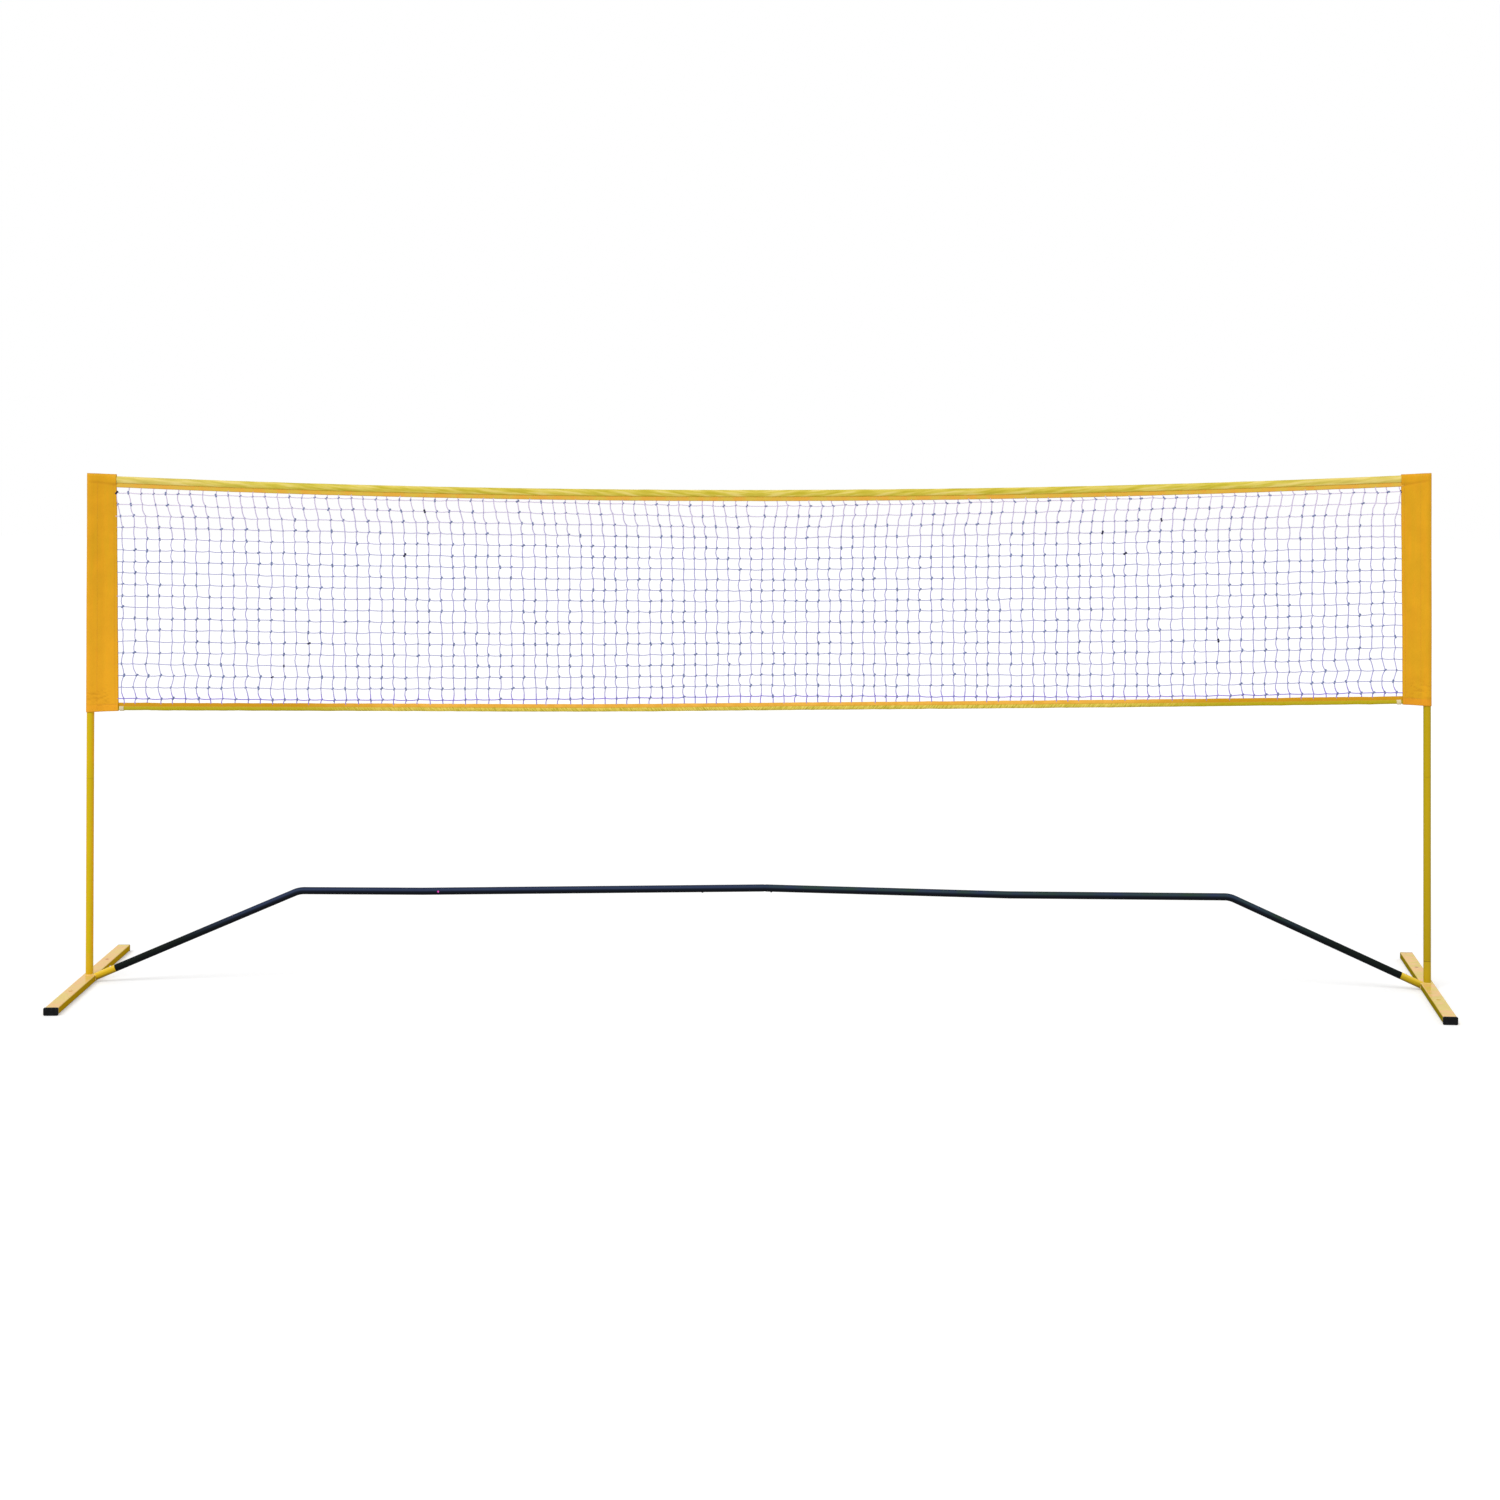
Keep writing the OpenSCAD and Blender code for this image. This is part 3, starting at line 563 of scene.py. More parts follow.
def knot(column, row):
    """Place of a knot. Row 0 is the top one."""
    x, top, low = (smooth(stations, column, k) for k in (1, 2, 3))
    down = row / (rows - 1)
    if column < middle_column:
        pull = 0.008 * min(1, column / 50) - 0.020
        x += 0.008 * down * (1 - abs(column - 27) / 40)
    else:
        pull = 0.012 + 0.004 * (column - middle_column) / 55
    if row < 4:
        x += pull * (1.0, 0.66, 0.21, 0.06)[row]
    elif row > rows - 5:
        at_side = max(0, 1 - min(column, columns - 1 - column) / 22)
        x += 0.005 * at_side * (-1 if row % 2 else 1)
    return Vector((
        x + 0.0009 * stray(column, row, 1),
        0.0010 * stray(column, row, 3),
        top + (low - top) * down + 0.0007 * stray(column, row, 2),
    ))


def end_or_knot(column, row):
    """A knot, or where a strand ends inside a tape or a sleeve."""
    p = knot(max(0, min(columns - 1, column)), max(0, min(rows - 1, row)))
    if not 0 <= column < columns:
        p.x, p.y = (-strand_end if column < 0 else strand_end), 0
    if row < 0:
        p.x += 0.004 if column < middle_column else -0.004
        p.y, p.z = 0, top_line(p.x) - 0.027
    if row >= rows:
        p.y, p.z = 0, bottom_line(p.x) + 0.014
    return p


def in_net(column, row):
    """Any point of the net's twine, at a knot or between two on a row or an upright."""
    c, r = int(column // 1), int(row // 1)
    f = max(column - c, row - r)
    p = end_or_knot(c, r).lerp(end_or_knot(c + (column > c), r + (row > r)), f)
    if row > r:
        p.x += 0.0015 * sin(pi * f) * stray(c, r, 4)
    elif column > c:
        p.z += sin(pi * f) * (0.0006 * stray(c, r, 5) - 0.0003)
    return p


def bands(finish, place, direction, width, wander=0.0):
    """Ridges of that width in metres, across x, y, z or the diagonal, from 0 to 1."""
    return add(
        finish, "TexWave", {"bands_direction": direction},
        Vector=place, Scale=2 * pi / 20 / width, Distortion=wander, Detail=0.0,
    ).outputs[1]


def twisted_twine(name, colour, shade, faded):
    """Two-ply twine: a soft twist on the slant, and an uneven dye that fades at the top."""
    finish, place = new_finish(name)
    lay = add(finish, "Mapping", Vector=place, Rotation=(0, radians(38), 0)).outputs[0]
    twist = bands(finish, lay, "Z", 0.0011, 0.4)
    dye = blend(finish, mottle(finish, place, 0.05), colour, shade)
    to_top = ramp(finish, part(finish, place, 2), 1.3, 1.46)
    set_surface(
        finish,
        Base_Color=blend(finish, to_top, dye, faded),
        Roughness=0.6,
        Normal=relief(finish, twist, 0.3, 0.0002),
        Specular_IOR_Level=0.2,
    )
    return finish


upright_twine = twisted_twine(
    "twisted violet twine", paint(182, 176, 226), paint(172, 170, 218), paint(212, 196, 228)
)
row_twine = twisted_twine(
    "twisted pale violet twine", paint(188, 186, 222), paint(180, 180, 214), paint(220, 208, 232)
)
low_twine = twisted_twine(
    "twisted bright violet twine", paint(152, 126, 226), paint(144, 130, 220), paint(152, 126, 226)
)


def net_lattice(name, keep_uprights, finish):
    """The uprights or the rows of the net, as tubes of twine on the edges of a grid."""
    bpy.ops.object.select_all(action="DESELECT")
    bpy.ops.mesh.primitive_grid_add(x_subdivisions=columns + 1, y_subdivisions=rows + 1, size=1)
    grid = bpy.context.object
    for v in grid.data.vertices:
        v.co = ((v.co.x + 0.5) * (columns + 1) - 1, (0.5 - v.co.y) * (rows + 1) - 1, 0)
    bpy.ops.object.mode_set(mode="EDIT")
    bpy.ops.mesh.delete(type="ONLY_FACE")
    bpy.ops.mesh.select_all(action="DESELECT")
    bpy.ops.mesh.select_mode(type="EDGE")
    bpy.ops.object.mode_set(mode="OBJECT")
    for edge in grid.data.edges:
        a, b = (grid.data.vertices[i].co for i in edge.vertices)
        upright = abs(a.x - b.x) < 0.1
        at_side = upright and not -0.5 < a.x < columns - 0.5
        at_tape = not upright and not -0.5 < a.y < rows - 0.5
        edge.select = upright != keep_uprights or at_side or at_tape
    bpy.ops.object.mode_set(mode="EDIT")
    bpy.ops.mesh.delete(type="EDGE")
    bpy.ops.mesh.select_all(action="SELECT")
    bpy.ops.mesh.subdivide(number_cuts=3)
    bpy.ops.object.mode_set(mode="OBJECT")
    for v in grid.data.vertices:
        v.co = in_net(round(v.co.x * 4) / 4, round(v.co.y * 4) / 4)
    bpy.ops.object.convert(target="CURVE")
    strands = bpy.context.object
    strands.data.bevel_depth = twine_radius
    strands.data.bevel_resolution = 1
    bpy.ops.object.convert(target="MESH")
    strands = bpy.context.object
    bpy.ops.object.shade_smooth()
    strands.name = name
    strands.data.materials.clear()
    strands.data.materials.append(finish)
    # The lowest row and the last of each upright are laced with a brighter twine.
    strands.data.materials.append(low_twine)
    for face in strands.data.polygons:
        if face.center.z < bottom_line(face.center.x) + 0.052:
            face.material_index = 1
    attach(strands, "net")
    return strands


net_uprights = net_lattice("netting_uprights", True, upright_twine)
net_rows = net_lattice("netting_rows", False, row_twine)


def copies(name, shape, places, finish, shades=None):
    """One mesh with a copy of a small shape at each place, and a shade for each copy."""
    corners, faces, tones = [], [], []
    points = [v.co.copy() for v in shape.data.vertices]
    polygons = [tuple(f.vertices) for f in shape.data.polygons]
    for k, spot in enumerate(places):
        first = len(corners)
        corners += [spot @ p for p in points]
        faces += [[first + i for i in f] for f in polygons]
        tones += [shades[k] if shades else 0.0] * len(points)
    mesh = bpy.data.meshes.new(name)
    mesh.from_pydata(corners, [], faces)
    if shades:
        mesh.attributes.new("shade", "FLOAT", "POINT").data.foreach_set("value", tones)
    mesh.polygons.foreach_set("use_smooth", [True] * len(mesh.polygons))
    mesh.materials.append(finish)
    piece = bpy.data.objects.new(name, mesh)
    bpy.context.scene.collection.objects.link(piece)
    bpy.data.objects.remove(shape)
    return piece


knot_twine, place = new_finish("knotted blue twine")
shade = add(knot_twine, "Attribute", {"attribute_name": "shade"}).outputs["Fac"]
turns = bands(knot_twine, place, "DIAGONAL", 0.0013, 1.5)
set_surface(
    knot_twine,
    Base_Color=blend(knot_twine, shade, paint(124, 138, 180), paint(20, 26, 56)),
    Roughness=0.6,
    Normal=relief(knot_twine, turns, 0.6, 0.0003),
    Specular_IOR_Level=0.3,
)
lobes = []
for middle, size in (
    ((-0.0015, 0, -0.0013), (0.0029, 0.0024, 0.0024)),
    ((0.0015, 0, 0.0015), (0.0027, 0.0026, 0.0025)),
):
    bpy.ops.object.select_all(action="DESELECT")
    bpy.ops.mesh.primitive_uv_sphere_add(
        segments=6, ring_count=4, radius=1, location=middle, scale=size
    )
    bpy.ops.object.transform_apply(location=True, rotation=True, scale=True)
    lobes.append(bpy.context.object)
lump = joined("knot", lobes)
# Column and row of the knots that took up more dye.
dark_knots = {
    (23, 5), (19, 9), (25, 1), (15, 13), (13, 15), (12, 16), (84, 3), (89, 2), (86, 5),
    (88, 9), (94, 13), (96, 15), (97, 16), (0, 0), (109, 0),
}
spots, shades = [], []
for c in range(columns):
    for r in range(rows):
        # The knots of the top row lie on the slant, towards the nearer post.
        tilt = (0.1 if c < middle_column else 1.47) if r == 0 else 0
        spin = Matrix.Rotation(tilt + 0.4 * stray(c, r, 6), 4, "Y")
        grow = 1.18 + 0.2 * stray(c, r, 7)
        dark = (c, r) in dark_knots
        size = Matrix.Scale(grow * (1.15 if dark else 1), 4)
        spots.append(Matrix.Translation(knot(c, r)) @ spin @ size)
        shades.append(1.0 if dark else 0.04 + 0.2 * (stray(c, r, 8) + 1) / 2)
net_knots = copies("netting_knots", lump, spots, knot_twine, shades)
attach(net_knots, "net")
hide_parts("netting")
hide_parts("netting")
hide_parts("netting")


# ---- Head cord and foot cord ----
# A braided white cord lies in the fold of each tape and takes the pull of the net. It
# runs into the sleeves, where it is tied round the post.
cord_radius, whipping_radius, whipping_width = 0.0019, 0.0017, 0.0132
cord_white, place = new_finish("braided white cord")
braid = []
for turn in (35, -35):
    lay = add(cord_white, "Mapping", Vector=place, Rotation=(0, radians(turn), 0))
    braid.append(bands(cord_white, lay.outputs[0], "X", 0.0021, 0.2))
strands_up = maths(cord_white, "MAXIMUM", *braid)
# The grooves between the braid's strands are painted darker, as shade.
set_surface(
    cord_white,
    Base_Color=blend(cord_white, strands_up, paint(204, 188, 138), paint(238, 226, 188)),
    Roughness=0.7,
    Normal=relief(cord_white, strands_up, 0.6, 0.0004),
    Specular_IOR_Level=0.3,
)


def hem_cord(name, height, end):
    """A cord along the net at the height of a line, swelling where its strands cross."""
    last = 899
    path = []
    for i in range(last + 1):
        x = -end + 2 * end * i / last
        path.append((x, 0, height(x)))
    piece = tube_along(name + "_braided", path, cord_radius, cord_white, 0.05, 2, 1)
    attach(piece, "net")
    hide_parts(name)
    return piece


head_cord = hem_cord("head_cord", lambda x: top_line(x) - 0.0042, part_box("head_cord")[1].x)
foot_cord = hem_cord("foot_cord", lambda x: bottom_line(x) + 0.0036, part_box("foot_cord")[1].x)
# Beside each sleeve the foot cord goes four times round the end of the bottom tape.
turns = []
for side, middle in (("left", -1.934), ("right", 1.945)):
    coil = []
    for i in range(81):
        t = 2 * pi * 4 * i / 80
        x = middle + whipping_width * (i / 80 - 0.5)
        coil.append((x, 0.0048 * cos(t), bottom_line(middle) + 0.0056 + 0.0064 * sin(t)))
    turns.append(tube_along(side + "_whipping", coil, whipping_radius, cord_white))
cord_ties = joined("foot_cord_whipping", turns)
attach(cord_ties, "net")


# ---- Top tape ----
# A strip of coated polyester is folded over the head cord and sewn under it. The roll
# above the seam is a pale satin yellow, partly its own colour and partly painted light from
# above, that creases on the slant, and the flap below the seam, which holds the netting,
# shows the orange inside of the cloth.
tape_end = 1.962
tape_thick = 0.0008
thread_width = 0.0006


def cloth_strip(name, along, across, thick, finish, place_on):
    """A strip of cloth of that thickness: a grid whose points are laid by place_on(u, v)."""
    bpy.ops.object.select_all(action="DESELECT")
    bpy.ops.mesh.primitive_grid_add(x_subdivisions=along, y_subdivisions=across, size=1)
    strip = bpy.context.object
    strip.name = strip.data.name = name
    for v in strip.data.vertices:
        v.co = place_on(v.co.x + 0.5, v.co.y + 0.5)
    body = strip.modifiers.new("cloth", "SOLIDIFY")
    body.thickness = thick
    body.offset = 0
    bpy.ops.object.modifier_apply(modifier="cloth")
    bpy.ops.object.shade_smooth()
    strip.data.materials.append(finish)
    return strip


def follow(section, v):
    """A point on a folded section, where v goes from 0 to 1 across the cloth."""
    t = min(v, 0.999999) * (len(section) - 1)
    i = int(t)
    a, b = section[i], section[i + 1]
    return a[0] + (b[0] - a[0]) * (t - i), a[1] + (b[1] - a[1]) * (t - i)


def woven(finish, metres, under):
    """The relief of a plain weave over that of the folds, from the cloth's own map in metres."""
    warp, weft = (bands(finish, metres, way, thread_width) for way in "XY")
    return relief(finish, maths(finish, "MAXIMUM", warp, weft), 0.25, 0.0001, Normal=under)


def two_tone_cloth(name, size, seam, roll, flap, seam_shade, gloss, slant, crease, ends, reach, share):
    """Coated cloth with three tones in its roll, painted light and shade of its creases, and two
    in its flap, with painted shade by the seam, which lies at a share of its width. Past its
    reach, towards the posts, other tones take a share."""
    finish, place = new_finish(name)
    own_map = add(finish, "UVMap").outputs[0]
    metres = add(finish, "Mapping", Vector=own_map, Scale=(*size, 1)).outputs[0]
    off_middle = maths(finish, "SUBTRACT", part(finish, own_map, 1), 0.5)
    off_middle = maths(finish, "ABSOLUTE", off_middle)
    # Creases in the roll run on the slant and fall towards the middle of the net; their tones are
    # painted light and shade.
    from_middle = maths(finish, "ABSOLUTE", part(finish, place, 0))
    y, z = (part(finish, place, axis) for axis in (1, 2))
    mirrored = add(finish, "CombineXYZ", X=from_middle, Y=y, Z=z).outputs[0]
    leaning = add(finish, "Mapping", Vector=mirrored, Rotation=(0, slant, 0)).outputs[0]
    drawn = add(finish, "Mapping", Vector=leaning, Scale=(1, 1, 9)).outputs[0]
    streaks = clouding(finish, drawn, crease, 3)
    rolled = blend(finish, ramp(finish, streaks, 0.36, 0.50), roll[0], roll[1])
    rolled = blend(finish, ramp(finish, streaks, 0.50, 0.66), rolled, roll[2])
    flat = blend(finish, mottle(finish, place, 0.035, 4, 0.4, 0.6), flap[0], flap[1])
    to_post = ramp(finish, from_middle, reach, reach + 0.3, 0.0, share)
    rolled = blend(finish, to_post, rolled, ends[0])
    flat = blend(finish, to_post, flat, ends[1])
    in_flap = ramp(finish, off_middle, 0.49 - seam, 0.51 - seam)
    tone = blend(finish, in_flap, rolled, flat)
    from_seam = maths(finish, "SUBTRACT", off_middle, 0.485 - seam)
    from_seam = maths(finish, "ABSOLUTE", from_seam)
    # Painted shade along the seam, where the cloth is drawn in.
    tone = blend(finish, ramp(finish, from_seam, 0.010, 0.030, 0.8, 0.0), tone, seam_shade)
    set_surface(
        finish,
        Base_Color=tone,
        Roughness=ramp(finish, streaks, 0, 1, gloss * 0.9, gloss * 1.15),
        Normal=woven(finish, metres, relief(finish, streaks, 0.5, 0.0015)),
        Specular_IOR_Level=0.1,
        Sheen_Weight=0.05, Sheen_Roughness=0.4, Sheen_Tint=(1.0, 0.95, 0.7, 1),
    )
    return finish


def folded(front, turn):
    """A section in millimetres back and up: the front half, the turn at that height, and the
    same half behind."""
    return front + [(0, turn)] + [(-y, z) for y, z in reversed(front)]


top_section = folded([
    (-1.6, -34), (-1.7, -28), (-1.9, -23.5), (-1.5, -21.5), (-3.2, -18.5), (-4.6, -13.5),
    (-4.7, -8), (-3.5, -3.4), (-1.7, -0.9),
], -0.4)


def ridge(x, z, long, short, slant, salt):
    """Height of creases that run long and narrow on a slant, up to 1."""
    a, b = x * cos(slant) + z * sin(slant), z * cos(slant) - x * sin(slant)
    return 1 - 2 * abs(noise.noise(Vector((a / long, b / short, salt))))


def on_top_tape(u, v):
    """The creased roll and the flat flap, along the sagging top line."""
    x = (2 * u - 1) * tape_end
    y, z = follow(top_section, v)
    front = -1 if y < 0 else 1
    puff = max(0, 1 - ((z + 11) / 10.5) ** 2)
    slant = -0.16 if x < 0 else 0.16
    fold = ridge(x, z / 1000, 0.075, 0.011, slant, 3 + front)
    fold += 0.5 * ridge(x, z / 1000, 0.03, 0.006, slant, 9 + front)
    y += front * puff * (0.7 * fold - 0.4)
    z += 0.5 * noise.noise(Vector((x * 14, front, 2.0)))
    if z < -24:
        y += 0.25 * noise.noise(Vector((x * 30, 5.0, front)))
    return (x, y / 1000, top_line(x) + z / 1000)


tape_cloth = two_tone_cloth(
    "satin yellow tape with orange flap", (2 * tape_end, 0.079), seam=3 / 18,
    roll=(paint(198, 182, 52), paint(216, 198, 76), paint(234, 214, 118)),
    flap=(paint(232, 174, 64), paint(222, 188, 70)), seam_shade=paint(192, 154, 34),
    gloss=0.42, slant=0.14, crease=0.08,
    ends=(paint(255, 228, 164), paint(236, 178, 76)), reach=1.5, share=0.2,
)
top_tape = cloth_strip("top_tape_cloth", 520, 36, tape_thick, tape_cloth, on_top_tape)
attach(top_tape, "net")
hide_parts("top_tape")


# ---- Bottom tape ----
# The same cloth folded over the foot cord, but narrower. Its orange half is sewn to the
# netting, and the olive half wraps the cord and puckers between the stitches.
bottom_section = folded([
    (-1.5, 23), (-1.6, 18.5), (-1.7, 13.5), (-1.4, 11.5), (-2.5, 9.6), (-3.4, 6.4), (-3.1, 3.0),
    (-1.8, 0.9),
], 0.4)


def on_bottom_tape(u, v):
    """The flat flap and the puckered roll, along the bottom line."""
    x = (2 * u - 1) * tape_end
    y, z = follow(bottom_section, v)
    front = -1 if y < 0 else 1
    puff = max(0, 1 - ((z - 6) / 5.5) ** 2)
    y += front * puff * 0.9 * noise.noise(Vector((x * 55, z * 0.12, 4 + front)))
    z += 0.8 * noise.noise(Vector((x * 18, front * 0.2, 7.0)))
    z += 0.35 * noise.noise(Vector((x * 60, 1.0, 7.0)))
    return (x, y / 1000, bottom_line(x) + z / 1000)


low_cloth = two_tone_cloth(
    "olive yellow tape with orange flap", (2 * tape_end, 0.053), seam=2.4 / 16,
    roll=(paint(178, 164, 44), paint(214, 192, 72), paint(234, 210, 102)),
    flap=(paint(244, 184, 74), paint(234, 174, 60)), seam_shade=paint(224, 170, 54),
    gloss=0.5, slant=0.9, crease=0.02,
    ends=(paint(180, 163, 0), paint(204, 148, 8)), reach=1.1, share=0.88,
)
bottom_tape = cloth_strip("bottom_tape_cloth", 520, 32, tape_thick, low_cloth, on_bottom_tape)
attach(bottom_tape, "net")
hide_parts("bottom_tape")


# ---- Stitching on the tapes ----
# A lockstitch in orange polyester thread runs along the seam of each tape. It is sewn by
# machine through both layers of cloth, and shows on both faces.
stitch_pitch, stitch_length, stitch_radius = 0.0042, 0.0034, 0.00035
stitch_thread, place = new_finish("orange sewing thread")
ply = bands(stitch_thread, place, "DIAGONAL", 0.0005, 0.3)
# The grooves of the thread's twist are painted darker, as shade.
set_surface(
    stitch_thread,
    Base_Color=blend(stitch_thread, ply, paint(188, 122, 26), paint(226, 160, 48)),
    Roughness=0.5,
    Normal=relief(stitch_thread, ply, 0.4, 0.0001),
)


def stitches(name, spots):
    """A row of lockstitches: each a short plump thread that dips into the cloth at both ends."""
    bpy.ops.object.select_all(action="DESELECT")
    bpy.ops.mesh.primitive_uv_sphere_add(
        segments=6, ring_count=4, radius=1,
        rotation=(0, radians(90), 0), scale=(stitch_radius, stitch_radius, stitch_length / 2),
    )
    shape = bpy.context.object
    bpy.ops.object.transform_apply(location=True, rotation=True, scale=True)
    row = copies(name, shape, spots, stitch_thread)
    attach(row, "net")
    return row


def tape_seam(tape, line, up, depth, end):
    """The seam on both faces of a tape, at a height over a line and a depth from its middle."""
    faces = []
    for face, out in (("front", -1), ("back", 1)):
        spots = []
        for i in range(int(2 * end / stitch_pitch)):
            x = -end + (i + 0.5) * stitch_pitch
            slope = (line(x + 0.01) - line(x - 0.01)) / 0.02
            turn = Matrix.Rotation(-atan2(slope, 1), 4, "Y")
            spots.append(Matrix.Translation((x, out * depth, line(x) + up)) @ turn)
        faces.append(stitches(f"{tape}_seam_{face}", spots))
    return joined(tape + "_tape_seam", faces)


top_seam = tape_seam("top", top_line, -0.0222, 0.0022, 1.950)
bottom_seam = tape_seam("bottom", bottom_line, 0.0132, 0.0020, 1.925)


# ---- Sleeves ----
# At each end the net is sewn into a sleeve of orange coated polyester. The cloth is one
# piece, folded round the post and sewn to itself beside it, hemmed at the bottom and
# closed across the top, and it slips down over the post.
orange_cloth, place = new_finish("orange coated polyester")
own_map = add(orange_cloth, "UVMap").outputs[0]
metres = add(orange_cloth, "Mapping", Vector=own_map, Scale=(0.75, 0.215, 1)).outputs[0]
clouds = mottle(orange_cloth, place, 0.05, 4)
down_cloth = add(orange_cloth, "Mapping", Vector=place, Scale=(1, 1, 0.12)).outputs[0]
streaks = mottle(orange_cloth, down_cloth, 0.012, 3)
streaks = maths(orange_cloth, "MULTIPLY", streaks, 0.5)
tone = blend(orange_cloth, clouds, paint(232, 166, 26), paint(222, 158, 24))
tone = blend(orange_cloth, streaks, tone, paint(214, 164, 22))
# The turned-up hem takes the dye twice and looks a deeper orange.
in_hem = ramp(orange_cloth, part(orange_cloth, metres, 0), 0.020, 0.023, 0.7, 0.0)
tone = blend(orange_cloth, in_hem, tone, paint(234, 152, 34))
# The left sleeve is sun-reddened towards its hem.
to_left = ramp(orange_cloth, part(orange_cloth, place, 0), 0.5, -0.5)
to_hem = ramp(orange_cloth, part(orange_cloth, place, 2), 1.3, 0.85, 0.0, 0.6)
reddened = maths(orange_cloth, "MULTIPLY", to_left, to_hem)
tone = blend(orange_cloth, reddened, tone, paint(244, 172, 34))
# Painted shade darkens the cloth in its creases.
creased = add(orange_cloth, "Attribute", {"attribute_name": "creased"}).outputs["Fac"]
crease_shade = maths(orange_cloth, "MULTIPLY", creased, 0.45)
tone = blend(orange_cloth, crease_shade, tone, paint(196, 132, 18))
folds = relief(orange_cloth, clouding(orange_cloth, down_cloth, 1 / 60, 3), 0.35, 0.002)
set_surface(
    orange_cloth,
    Base_Color=tone,
    Roughness=ramp(orange_cloth, clouds, 0, 1, 0.48, 0.6),
    Normal=woven(orange_cloth, metres, folds),
    Specular_IOR_Level=0.12,
    Sheen_Weight=0.06, Sheen_Roughness=0.45, Sheen_Tint=(1.0, 0.85, 0.5, 1),
)

# Across the cloth from the front inner edge, round the post, to the back inner edge:
# millimetres inward of the post's axis, and across.
beside_post = [(33, -4.4), (26, -6.3), (19, -8.3), (11, -10.5)]
sleeve_section = (
    [(80 - 5 * i, -2.0 - 0.05 * i) for i in range(9)]
    + beside_post
    + [(13.1 * cos(radians(t)), -13.1 * sin(radians(t))) for t in range(74, 287, 14)]
    + [(x, -y) for x, y in reversed(beside_post)]
    + [(40 + 5 * i, 2.4 - 0.05 * i) for i in range(9)]
)
# Millimetres from the post's axis out to the fold round it, and in to the inner edge, to
# the pocket seam and to the edge seam.
round_post, to_edge, pocket_seam, edge_seam = 13, 80, 21, 71
sleeve_thick = 0.0011


def along_section(inward):
    """Share of the width, from the front edge, at which the cloth lies so far inward."""
    for i, (a, b) in enumerate(zip(sleeve_section, sleeve_section[1:])):
        if b[0] <= inward <= a[0]:
            return (i + (a[0] - inward) / (a[0] - b[0])) / (len(sleeve_section) - 1)


def bell(distance, width, power=2):
    """1 at no distance, fading to 0 past that width."""
    return exp(-((distance / width) ** power))


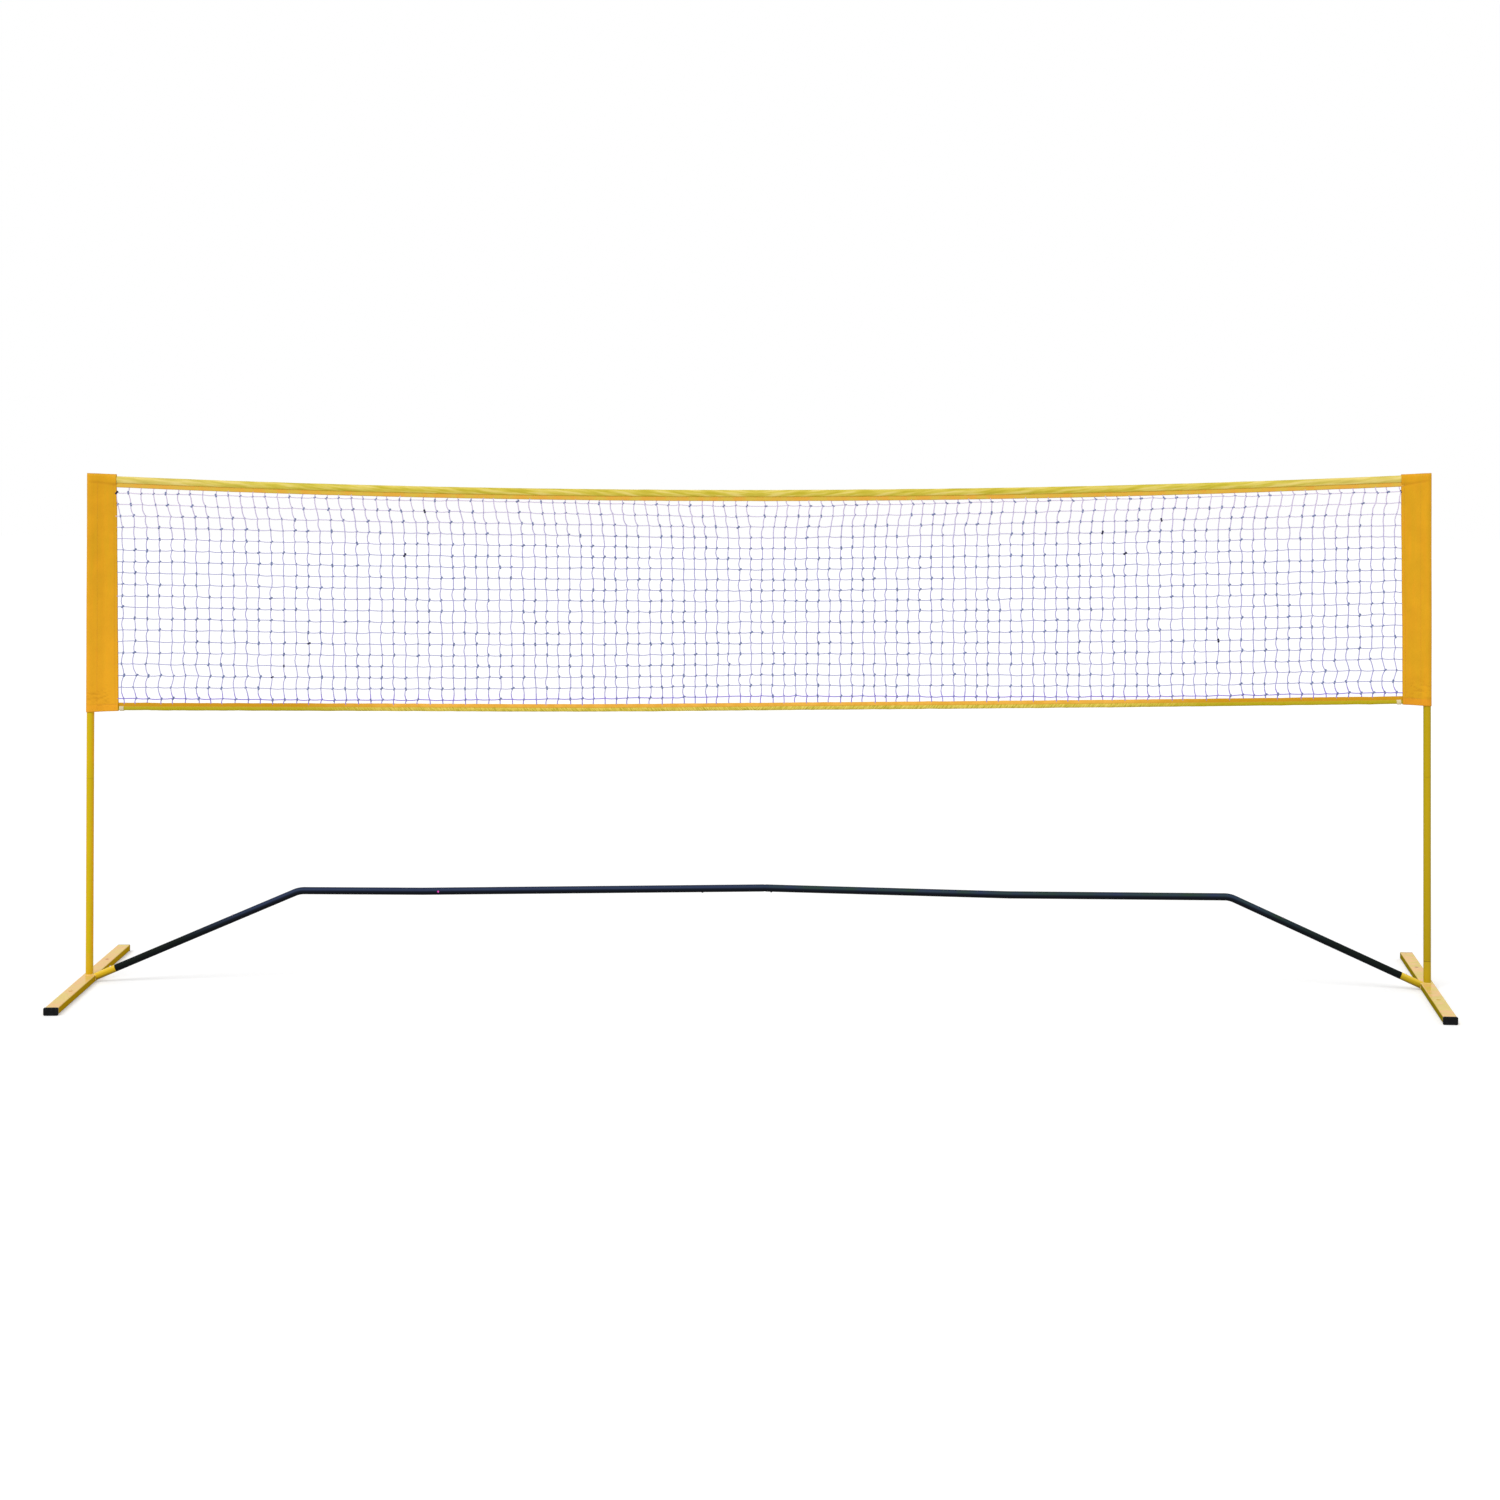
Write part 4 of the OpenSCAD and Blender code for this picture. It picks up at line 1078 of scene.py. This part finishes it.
def make_sleeve(side, out, low, tops, reach, crease_tops):
    """The sleeve of one side, from its bottom hem to its closed top. The pairs are the heights
    of the top and of the crease under it at the post and at the inner edge, and how far
    inward the cloth reaches at the hem and at the top."""
    tall = tops[0] - low

    def between(pair, x):
        """From the pair's first value at the post to its second at the inner edge."""
        return pair[0] + (pair[1] - pair[0]) * (x + round_post) / (round_post + to_edge)

    hems = (low - 0.002, low + 0.002)

    def fold_depth(x, z):
        """How deep the cloth is creased at a place, in millimetres."""
        over_hem = z - between(hems, x)
        across = 1.3 * bell(z - between(crease_tops, x), 0.0035) * min(1, max(0, (x + 14) / 20))
        rumpled = 4 * max(0, ridge(x / 1000, z, 0.05, 0.011, 0.18, 31 + out) - 0.65)
        rumpled *= min(1, max(0, (66 - x) / 14))
        turned_up = 0.5 * bell(over_hem - 0.023, 0.0018)
        return across + turned_up + bell(over_hem - 0.045, 0.030) * rumpled

    def on_sleeve(u, v):
        x, y = follow(sleeve_section, v)
        top, hem = between(tops, x), between(hems, x)
        z = hem + (top - hem) * u
        if x > round_post:
            edge = reach[0] + (reach[1] - reach[0]) * u
            x = round_post + (x - round_post) * (edge - round_post) / (to_edge - round_post)
        front = -1 if y < 0 else 1
        flat = min(1, max(0, (x - 16) / 20))
        # The flap opens at the top to take in the rolled tape, and at the hem for the lower one.
        tape = top_line(out * (post_x - x / 1000)) - 0.011
        bulge = bell(z - tape, 0.014, 4) * min(1, max(0, (x - 45) / 30))
        hem_tape = bell(z - low - 0.012, 0.014, 4) * min(1, max(0, (x - 50) / 28))
        y += front * (4.2 * bulge + 2.3 * hem_tape)
        # Soft folds run down the cloth and fade towards the seams.
        wave = noise.noise(Vector((x / 22, z * 2.2, 11 + out + front)))
        y += front * flat * 1.2 * (wave + 0.25)
        if x < 12:
            y += 0.4 * noise.noise(Vector((x / 9, z * 5, 21 + out)))
            x += 0.5 * noise.noise(Vector((z * 4, 3.0, out)))
        if x > 60:
            x += (x - 60) / 20 * 0.9 * noise.noise(Vector((z * 6, 8.0, out)))
        # A crease falls across the cloth under the closed top, and others lie above the hem.
        y -= front * fold_depth(x, z) * min(1, max(0.3, (x - 4) / 12))
        # The cloth is pinched flat along the closed top.
        closing = 0.0045 + 0.012 * flat
        close = sqrt(max(0.0, 1 - max(0, (z - (top - closing)) / closing) ** 2))
        y *= max(0.05, close)
        return (out * (post_x - x / 1000), y / 1000, z)

    sleeve = cloth_strip(side + "_sleeve_cloth", 190, 84, sleeve_thick, orange_cloth, on_sleeve)
    # How deep each point is creased, which sets the painted shade in the creases.
    creased = sleeve.data.attributes.new("creased", "FLOAT", "POINT").data
    for mark, v in zip(creased, sleeve.data.vertices):
        mark.value = min(1, fold_depth((post_x - out * v.co.x) * 1000, v.co.z) / 1.3)
    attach(sleeve, "net")
    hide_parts(side + "_sleeve")

    # Rows of stitches: up the pocket seam, up the inner edge, and along the hem.
    rows_up = int((tall - 0.03) / stitch_pitch)
    places = [
        (inward, 0.006 + (i + 0.5) * stitch_pitch, radians(90))
        for inward in (pocket_seam, edge_seam)
        for i in range(rows_up)
    ]
    places += [(24 + i * stitch_pitch * 1000, 0.021, 0) for i in range(14)]
    spots = []
    for inward, up, turn in places:
        across = along_section(inward)
        for front, v in ((-1, across), (1, 1 - across)):
            spot = Vector(on_sleeve(up / tall, v))
            spot.y += front * 0.0007
            spots.append(Matrix.Translation(spot) @ Matrix.Rotation(turn, 4, "Y"))
    seams = stitches(side + "_sleeve_seams", spots)


make_sleeve(
    "left", -1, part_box("left_sleeve")[0].z, (1.5502, 1.5470), (86, 77), (1.5263, 1.5143)
)
make_sleeve(
    "right", 1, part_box("right_sleeve")[0].z, (1.5590, 1.5545), (73, 78), (1.5387, 1.5199)
)


# ---- Floor and light ----
# A plain pale floor that shows white and keeps a soft shadow, under one broad soft lamp
# and an even white room.
def seen_ray(finish):
    """1 for a ray from the camera, also in a mirror or through glass, and 0 for the others."""
    rays = add(finish, "LightPath").outputs
    seen = maths(finish, "MAXIMUM", rays["Is Camera Ray"], rays["Is Glossy Ray"])
    return maths(finish, "MAXIMUM", seen, rays["Is Transmission Ray"])


floor_paint = bpy.data.materials.new("pale floor")
floor_paint.use_nodes = True
floor_paint.node_tree.nodes.clear()
glow = maths(floor_paint, "MULTIPLY", seen_ray(floor_paint), 0.3)
glow = add(floor_paint, "Emission", Color=(1, 1, 1, 1), Strength=glow)
matt = add(floor_paint, "BsdfDiffuse", Color=paint(232, 232, 232))
both = add(floor_paint, "AddShader", _0=matt.outputs[0], _1=glow.outputs[0])
add(floor_paint, "OutputMaterial", Surface=both.outputs[0])
bpy.ops.object.select_all(action="DESELECT")
bpy.ops.mesh.primitive_plane_add(size=60, location=(0, 8, -0.0005))
floor = bpy.context.object
floor.name = "floor"
floor.data.materials.append(floor_paint)

room = bpy.data.worlds.new("white room")
room.use_nodes = True
room.node_tree.nodes.clear()
level = ramp(room, seen_ray(room), 0, 1, 0.62, 1.0)
air = add(room, "Background", Color=(1, 1, 1, 1), Strength=level)
add(room, "OutputWorld", Surface=air.outputs[0])
bpy.context.scene.world = room

bpy.ops.object.light_add(type="SUN", location=(-2, -4, 5))
lamp = bpy.context.object
lamp.name = "soft lamp"
lamp.data.energy = 1.5
lamp.data.angle = radians(30)
lamp.rotation_euler = Vector((-0.3, -0.62, 0.72)).to_track_quat("Z", "Y").to_euler()

bpy.context.scene.view_settings.view_transform = "Standard"
